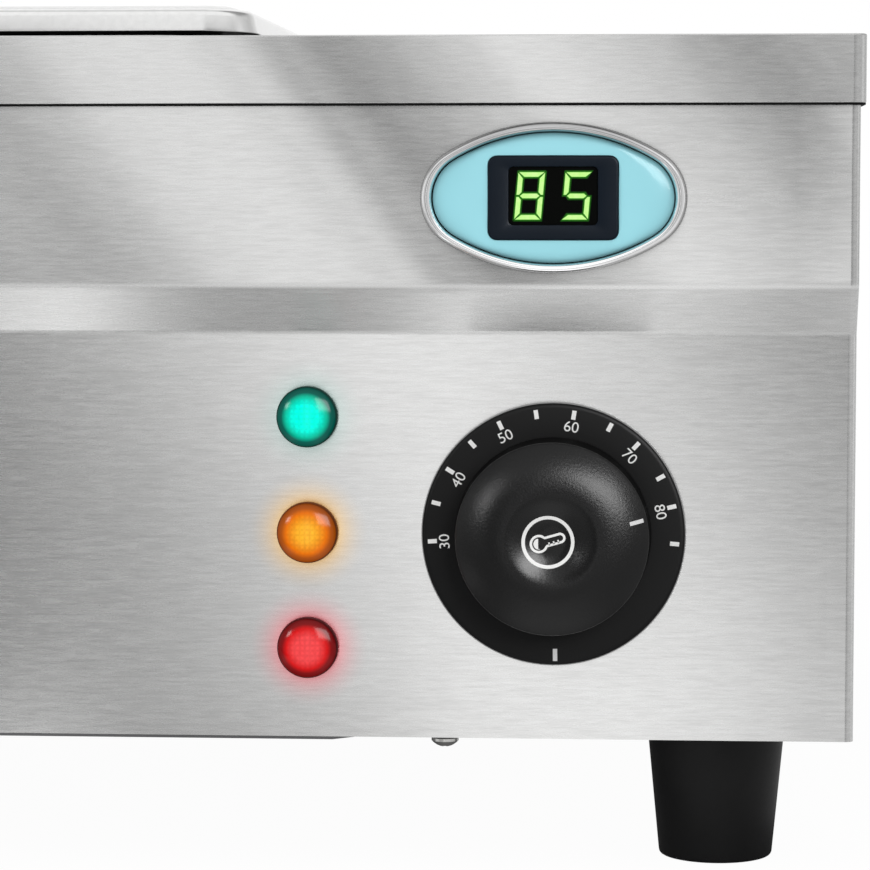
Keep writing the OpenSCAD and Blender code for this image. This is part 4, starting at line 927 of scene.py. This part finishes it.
def addKnobPrint(v, w):
    strips = [strokeStrip(arc(0, 0, w["ring"], 0, 354, 59), w["ringStroke"], True)]
    bulb, end, half = Vector(w["bulb"]), Vector(w["end"]), w["half"]
    axis = end - bulb
    run = axis.normalized()
    side = Vector((run.y, -run.x))
    lean = math.degrees(math.atan2(axis.y, axis.x))
    mouth = math.degrees(math.asin(half / w["bulbR"]))
    cap = end - run * half
    outline = arc(bulb.x, bulb.y, w["bulbR"], lean + mouth, lean + 360 - mouth, 40)
    outline += arc(cap.x, cap.y, half, lean - 90, lean + 90, 16)
    strips.append(strokeStrip(outline, w["stroke"], True))
    first = int(round(lean)) + 90
    spokes = [Vector(polar(w["fill"], a)) for a in range(first, first + 181, 15)]
    strips.append([(tuple(bulb + q), (bulb.x - 0.2, bulb.y + 0.9 * q.y)) for q in spokes])   # filled half of the bulb
    for share in w["marks"]:
        foot = bulb + axis * share + side * half
        strips.append(strokeStrip([tuple(foot), tuple(foot - side * w["markLength"])], w["markStroke"]))
    moved = [[tuple((q[0] + w["centre"][0], q[1] + w["centre"][1]) for q in pair) for pair in s] for s in strips]
    shape = ribbon(moved, lambda r: dishHeight(r, v), v["print"], v["sunk"])
    addPiece("knobIcon", shape, [inkWhite], "knob", (), 30)
    low, high = v["pointerFrom"], v["pointerTo"]
    points = [polar(low + (high - low) * i / 10, v["pointerAngle"]) for i in range(11)]
    shape = ribbon([strokeStrip(points, v["pointerWidth"])], lambda r: shoulderHeight(r, v), v["print"], v["sunk"])
    addPiece("knobPointer", shape, [inkGrey], "knob", (), 30)


addDialPlate(dial)
addTicks("dialTicks", dial["ticks"], dial, dial["tick"], inkWhite)
addTicks("dialOffMark", dial["off"], dial, dial["offTick"], inkGrey)
addNumbers(dial)
addKnob(knob)
addKnobPrint(knob, icon)
print("dial and knob made")

lamp = {"radius": 7.75, "edge": 2.3, "reach": 5.2, "stud": 5.0, "studLength": 13.0, "y": -177.6, "round": 72}


def addLamps(v):
    r, stud, n = v["radius"], v["stud"], v["round"]
    dome = arc(0, v["edge"], r, 0, 90, 16, v["reach"] - v["edge"])
    profile = [(0, -v["studLength"]), (stud, -v["studLength"]), (stud, 0)]
    profile += softProfile([(stud, 0, 0), (r, 0, 0.25), dome[0] + (0,)], 3)[1:] + dome[1:]
    wall = len(profile) - len(dome) + 3
    for name, z in lampPlaces.items():
        shape = lathe(profile, frontPlace(lampX, v["y"], z), n)
        finish = litLens("lens_" + name + "_lit", lensFinish[name], (lampX, v["y"], z), r, lensWeave)
        addPiece(name + "Lens", shape, [finish, lensSideShades[name]], "casing", (name + "_lamp",), 40,
                 {1: range(wall * n)})


addLamps(lamp)
print("lamps made")

# ovals are width, height and end radius; ring is a section from the outer oval to the inner one, as share and height
display = {"x": 282.6, "y": -185.6, "z": 172.5, "outer": (66.5, 37.8, 13.0), "inner": (60.6, 32.7, 11.0),
           "ring": [(0, 0.0), (0, 1.4), (0.02, 2.1), (0.08, 2.8), (0.17, 3.35), (0.28, 3.72), (0.40, 3.92),
                    (0.52, 4.0), (0.64, 3.95), (0.75, 3.78), (0.85, 3.45), (0.93, 2.95), (0.98, 2.4), (1.0, 1.8),
                    (1.0, 0.7), (1.6, 0.6), (1.6, 0.0)],
           "faceBack": 0.6, "faceEdge": 1.3, "faceTop": 2.5, "window": (32.4, 20.8, 2.2), "windowTop": 3.0,
           "field": (22.2, 14.5, 1.2), "fieldUp": 0.5, "fieldTop": 2.0, "gap": 0.12, "round": 192}
displayPlace = frontPlace(display["x"], display["y"], display["z"])


def ovalRadius(w, h, r, angle):
    # distance from the middle to an oval of four arcs, along a direction
    a = w / 2 - r
    big = (a * a + h * h / 4 - r * r) / (h - 2 * r)
    drop = big - h / 2
    c, s = abs(math.cos(angle)), abs(math.sin(angle))
    meet = math.atan2(drop, a)
    endX, endY = a + r * math.cos(meet), r * math.sin(meet)
    if s * endX <= c * endY:
        return a * c + math.sqrt(max(0.0, r * r - (a * s) ** 2))
    return -drop * s + math.sqrt(max(0.0, big * big - (drop * c) ** 2))


def rectRadius(w, h, r, angle):
    c, s = abs(math.cos(angle)), abs(math.sin(angle))
    flat = min(w / 2 / c if c > 1e-9 else 1e9, h / 2 / s if s > 1e-9 else 1e9)
    ax, ay = w / 2 - r, h / 2 - r
    if flat * c <= ax or flat * s <= ay:
        return flat
    reach = ax * c + ay * s
    return reach + math.sqrt(max(0.0, reach * reach - (ax * ax + ay * ay - r * r)))


def ovalLoft(start, end, section, n):
    # closed skin between two outlines, given as functions of the angle; section: (share, height)
    rings = []
    for share, h in section:
        ring = []
        for j in range(n):
            angle = 2 * math.pi * j / n
            d = start(angle) + (end(angle) - start(angle)) * share
            ring.append(displayPlace(d * math.cos(angle), d * math.sin(angle), h))
        rings.append(ring)
    return loftMesh(rings, closed=True)


def addDisplay(v):
    n, section = v["round"], v["ring"]
    shape = ovalLoft(lambda a: ovalRadius(*v["outer"], a), lambda a: ovalRadius(*v["inner"], a), section, n)
    groove = next(i for i, (share, h) in enumerate(section) if share > 0.95)
    addPiece("displaySurround", shape, [ringChrome, grooveShade], "casing", ("display_surround",),
             50, {1: range(groove * n, (len(section) - 1) * n)})

    g = v["gap"]
    w, h, r = v["inner"]
    ww, wh, wr = v["window"]
    edge, top = v["faceEdge"], v["faceTop"]
    section = [(0, v["faceBack"]), (0, edge - 0.25), (0.02, edge)]
    for i in range(1, 16):
        t = (i / 16) ** 1.6
        section.append((t, edge + (top - edge) * (1 - (1 - t) ** 5)))
    section += [(0.985, top), (1.0, top - 0.12), (1.0, v["faceBack"])]
    shape = ovalLoft(lambda a: ovalRadius(w - 2 * g, h - 2 * g, r - g, a),
                     lambda a: rectRadius(ww + 2 * g, wh + 2 * g, wr + g, a), section, n)
    addPiece("displayFace", shape, [faceBlue], "casing", ("display_face",), 50)

    top, up = v["windowTop"], v["fieldUp"]
    frameSteps = [(0, 0), (0, top - 0.45), (-0.12, top - 0.2), (-0.5, top - 0.03), (-1.0, top)]
    fieldSteps = [(0.7, top), (0.2, top - 0.08), (0, top - 0.3), (0, v["fieldTop"])]
    rings = []
    for (fullW, fullH, corner), steps, rise in ((v["window"], frameSteps, 0), (v["field"], fieldSteps, up)):
        for grow, height in steps:
            ring = rectRing(fullW + grow, fullH + grow, corner + grow / 2, height)
            rings.append([displayPlace(x, y + rise, z) for x, y, z in ring])
    shape = loftMesh(rings)
    addPiece("displayWindow", shape, [windowFrame, windowField], "casing", ("display_window",), 40,
             {1: [len(shape[1]) - 1]})


# layers of light in each segment: growth of its outline, and how far its two faces stand before the panel
digitLayers = {"digitHalo": (0.34, 2.02, 2.08, haloGreen), "digitCores": (-0.15, 2.30, 2.44, coreGreen)}


def addDigitLayer(name, grow, low, high, finish, d):
    work = openMesh(nodes["display_digits"].data)
    left = set(work.verts)
    while left:
        island = {left.pop()}
        edge = list(island)
        while edge:
            edge = [q for p in edge for link in p.link_edges for q in link.verts if q not in island]
            island.update(edge)
        left -= island
        middle = sum((p.co for p in island), Vector()) / len(island)
        half = [max(abs(p.co[axis] - middle[axis]) for p in island) for axis in range(3)]
        for p in island:
            away = p.co - middle
            for axis in (0, 2):
                share = max(-1.0, min(1.0, away[axis] / min(half[axis], 0.6 * mm)))
                p.co[axis] += share * grow * mm
            p.co.y = (d["y"] - (high if away.y < 0 else low)) * mm
    mesh = bpy.data.meshes.new(name)
    work.to_mesh(mesh)
    work.free()
    mesh.materials.append(finish)
    linkPiece(name, mesh, "casing", ())


addDisplay(display)
for name, layer in digitLayers.items():
    addDigitLayer(name, *layer, display)
print("display made")

# tap and gland with their sharp edges broken: node, finish, body, slot and width in mm
softEdges = {
    "leverGrip": ("lever_grip", gripRed, "tap_handle", "grip_red", 1.1),
    "tapLever": ("tap_lever", handleSteel, "tap_handle", "handle_steel", 0.35),
    "glandBody": ("gland_body", glandBlack, "casing", "gland_black", 0.3),
    "glandCap": ("gland_cap", glandBlack, "casing", "gland_black", 0.5),
    "valveBody": ("valve_body", chromeTap, "casing", "tap_chrome", 0),
    "valveBall": ("valve_ball", chromeTrim, "tap_handle", "ball_chrome", 0),
    "sensingBulb": ("sensing_bulb", copperDrawn, "casing", "copper_bulb", 0),
}
for name, (node, material, body, finish, width) in softEdges.items():
    sheetCopy(name, node, material, body, [(sharpEdge(35), width, 3)] if width else [])
print("tap and gland softened")

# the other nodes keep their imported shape
nodeFinish = {
    "water_tank": tankSteel, "divider_bar_left": tankSteel, "divider_bar_right": tankSteel,
    "rear_screws": zincPlate, "base_screws": zincPlate, "foot_screws": zincPlate, "foot_nuts": zincPlate,
    "thermostat_spindle": zincPlate, "thermostat": insulator, "thermostat_screws": zincPlate,
    "safety_cutout": cutoutBlack, "lamp_nuts": zincPlate, "lamp_bodies": insulator,
    "display_digits": digitGlow, "display_housing": cutoutBlack, "terminal_block": insulator,
    "gland_locknut": glandBlack, "heating_element": elementSteel, "element_nuts": brassTurned,
    "drain_spigot": brassTurned, "drain_gasket": gasketRubber, "drain_locknut": brassTurned, "lever_nut": zincPlate,
}
for node, finish in nodeFinish.items():
    mesh = nodes[node].data
    mesh.materials.clear()
    mesh.materials.append(finish)
print("packed nodes dressed")

# floor in metres; what the metal sees of it by X in mm; what it sees around by degrees, low down and higher up; under
# is painted shadow, darkening the floor that the metal sees beneath the machine
studio = {
    "wide": 0.9, "front": -0.33, "back": 0.75, "tone": 0.86, "show": 0.97, "half": 400.0,
    "floorInMetal": [(-360, 0.7), (-100, 0.8), (60, 0.7), (128, 1.55), (140, 1.38), (150, 1.06), (160, 0.82),
                     (174, 0.58), (184, 0.51), (195, 0.50), (207, 0.54), (220, 0.58), (231, 0.74), (240, 0.94),
                     (252, 1.18), (300, 1.20), (312, 1.04), (325, 0.95), (340, 0.77), (352, 0.66), (400, 0.7)],
    "under": (-0.215, -0.17, 1.0, 0.12), "nearFront": (-0.30, -0.265, 0.1, 1.0),
    "bands": [(-180, 1.1), (-150, 0.8), (-120, 0.6), (-90, 0.95), (-60, 0.6), (-35, 0.5), (-20, 0.18),
              (-12, 0.17), (-8.6, 0.74), (-5.5, 1.40), (-2.2, 1.40), (0.9, 0.72), (4.3, 0.13), (8, 0.28), (14, 0.45),
              (40, 0.60), (70, 0.60), (90, 0.90), (110, 0.7), (130, 0.6), (150, 0.8), (180, 1.1)],
    "upper": [(-180, 1.1), (-150, 1.0), (-115, 0.4), (-80, 0.5), (-50, 1.10), (50, 1.10), (78, 1.15), (95, 0.35),
              (135, 0.3), (160, 1.1), (180, 1.1)],
    "upperFrom": (0.36, 0.54), "belowFrom": (-0.26, -0.42), "zenithFrom": (0.95, 0.985),
    "below": 0.75, "zenith": 0.75, "diffuse": 0.95,
}


def addFloor(v):
    mesh = bpy.data.meshes.new("studioFloor")
    wide, front, back = v["wide"], v["front"], v["back"]
    mesh.from_pydata([(-wide, front, 0), (wide, front, 0), (wide, back, 0), (-wide, back, 0)], [], [(0, 1, 2, 3)])
    mat, tree, shader = startMaterial("studio_floor", (v["tone"],) * 3, 0.0, 0.9)
    tone = ramp(tree, grain(tree, 3), [(0.3, v["tone"] * 0.98), (0.7, v["tone"])])
    feed(tree, shader, {"Base Color": tone, "Specular IOR Level": 0.0})
    path = put(tree, "ShaderNodeLightPath").outputs
    x, y, _ = split(tree, objectPlace(tree))
    span = 2 * v["half"]
    stops = [(at / span + 0.5, level) for at, level in v["floorInMetal"]]
    inMetal = ramp(tree, line(tree, x, 1 / (span * mm), 0.5), stops)
    left = between(tree, x, -360, 170, 20)
    inMetal = mixColor(tree, left, inMetal, times(tree, inMetal, fade(tree, y, *v["nearFront"])))
    # painted shadow: beneath the machine, the floor that the metal sees is darkened
    beneath = between(tree, x, -362, 362, 4)
    inMetal = mixColor(tree, beneath, inMetal, times(tree, inMetal, fade(tree, y, *v["under"])))
    level = mixColor(tree, path["Is Glossy Ray"], plainWhite, inMetal)
    white = put(tree, "ShaderNodeEmission", Color=level, Strength=1.0)
    seen = math2(tree, "MAXIMUM", path["Is Glossy Ray"], path["Is Transmission Ray"])
    seen = math2(tree, "MAXIMUM", path["Is Camera Ray"], seen)
    both = put(tree, "ShaderNodeMixShader", i0=mul(tree, seen, v["show"]), i1=shader.outputs[0], i2=white.outputs[0])
    feed(tree, tree.nodes["Material Output"], {"Surface": both.outputs[0]})
    mesh.materials.append(mat)
    addObject("studioFloor", mesh)


def addWorld(v):
    world = bpy.data.worlds.new("studio")
    bpy.context.scene.world = world
    world.use_nodes = True
    tree = world.node_tree
    x, y, z = split(tree, put(tree, "ShaderNodeTexCoord").outputs["Generated"])
    around = math2(tree, "ARCTAN2", x, mul(tree, y, -1.0))
    u = line(tree, around, 0.5 / math.pi, 0.5)
    bands, upper = [ramp(tree, u, [((a + 180) / 360, level) for a, level in v[key]], "EASE")
                    for key in ("bands", "upper")]
    seen = mixColor(tree, fade(tree, z, *v["upperFrom"]), bands, upper)
    for key in ("below", "zenith"):
        seen = mixColor(tree, fade(tree, z, *v[key + "From"]), seen, grey(v[key]))
    path = put(tree, "ShaderNodeLightPath").outputs
    plain = mixColor(tree, path["Is Glossy Ray"], grey(v["diffuse"]), seen)
    color = mixColor(tree, path["Is Camera Ray"], plain, plainWhite)
    feed(tree, tree.nodes["Background"], {"Color": color, "Strength": 1.0})


# place and aim in metres, width, height, power, and whether the moulded controls alone take its highlight
lights = {
    "boxLeft": ((-0.57, -0.94, 0.48), (0.28, -0.18, 0.09), 0.22, 0.22, 3.8, True),
    "boxRight": ((0.83, -1.09, 0.56), (0.28, -0.18, 0.09), 0.8, 0.55, 22.0, True),
    "keyAbove": ((0.1, -1.2, 1.6), (0.2, 0.0, 0.1), 1.2, 0.8, 5.0, False),
}


def addLight(name, place, aim, width, height, power, softbox, targets):
    data = bpy.data.lights.new(name, "AREA")
    data.shape = "RECTANGLE"
    data.size = width
    data.size_y = height
    data.energy = power
    light = addObject(name, data)
    light.location = place
    light.rotation_euler = lookAt(place, aim)
    light.visible_camera = False
    light.visible_glossy = softbox
    if softbox:
        light.visible_diffuse = False
        light.light_linking.receiver_collection = targets


addFloor(studio)
addWorld(studio)
softboxTargets = bpy.data.collections.new("softboxTargets")
for piece in bpy.context.scene.objects:
    if piece.name.startswith(("knob", "dial", "displayFace", "displayWindow")) or piece.name.endswith("Lens"):
        softboxTargets.objects.link(piece)
for name, values in lights.items():
    addLight(name, *values, softboxTargets)
print("studio lit")
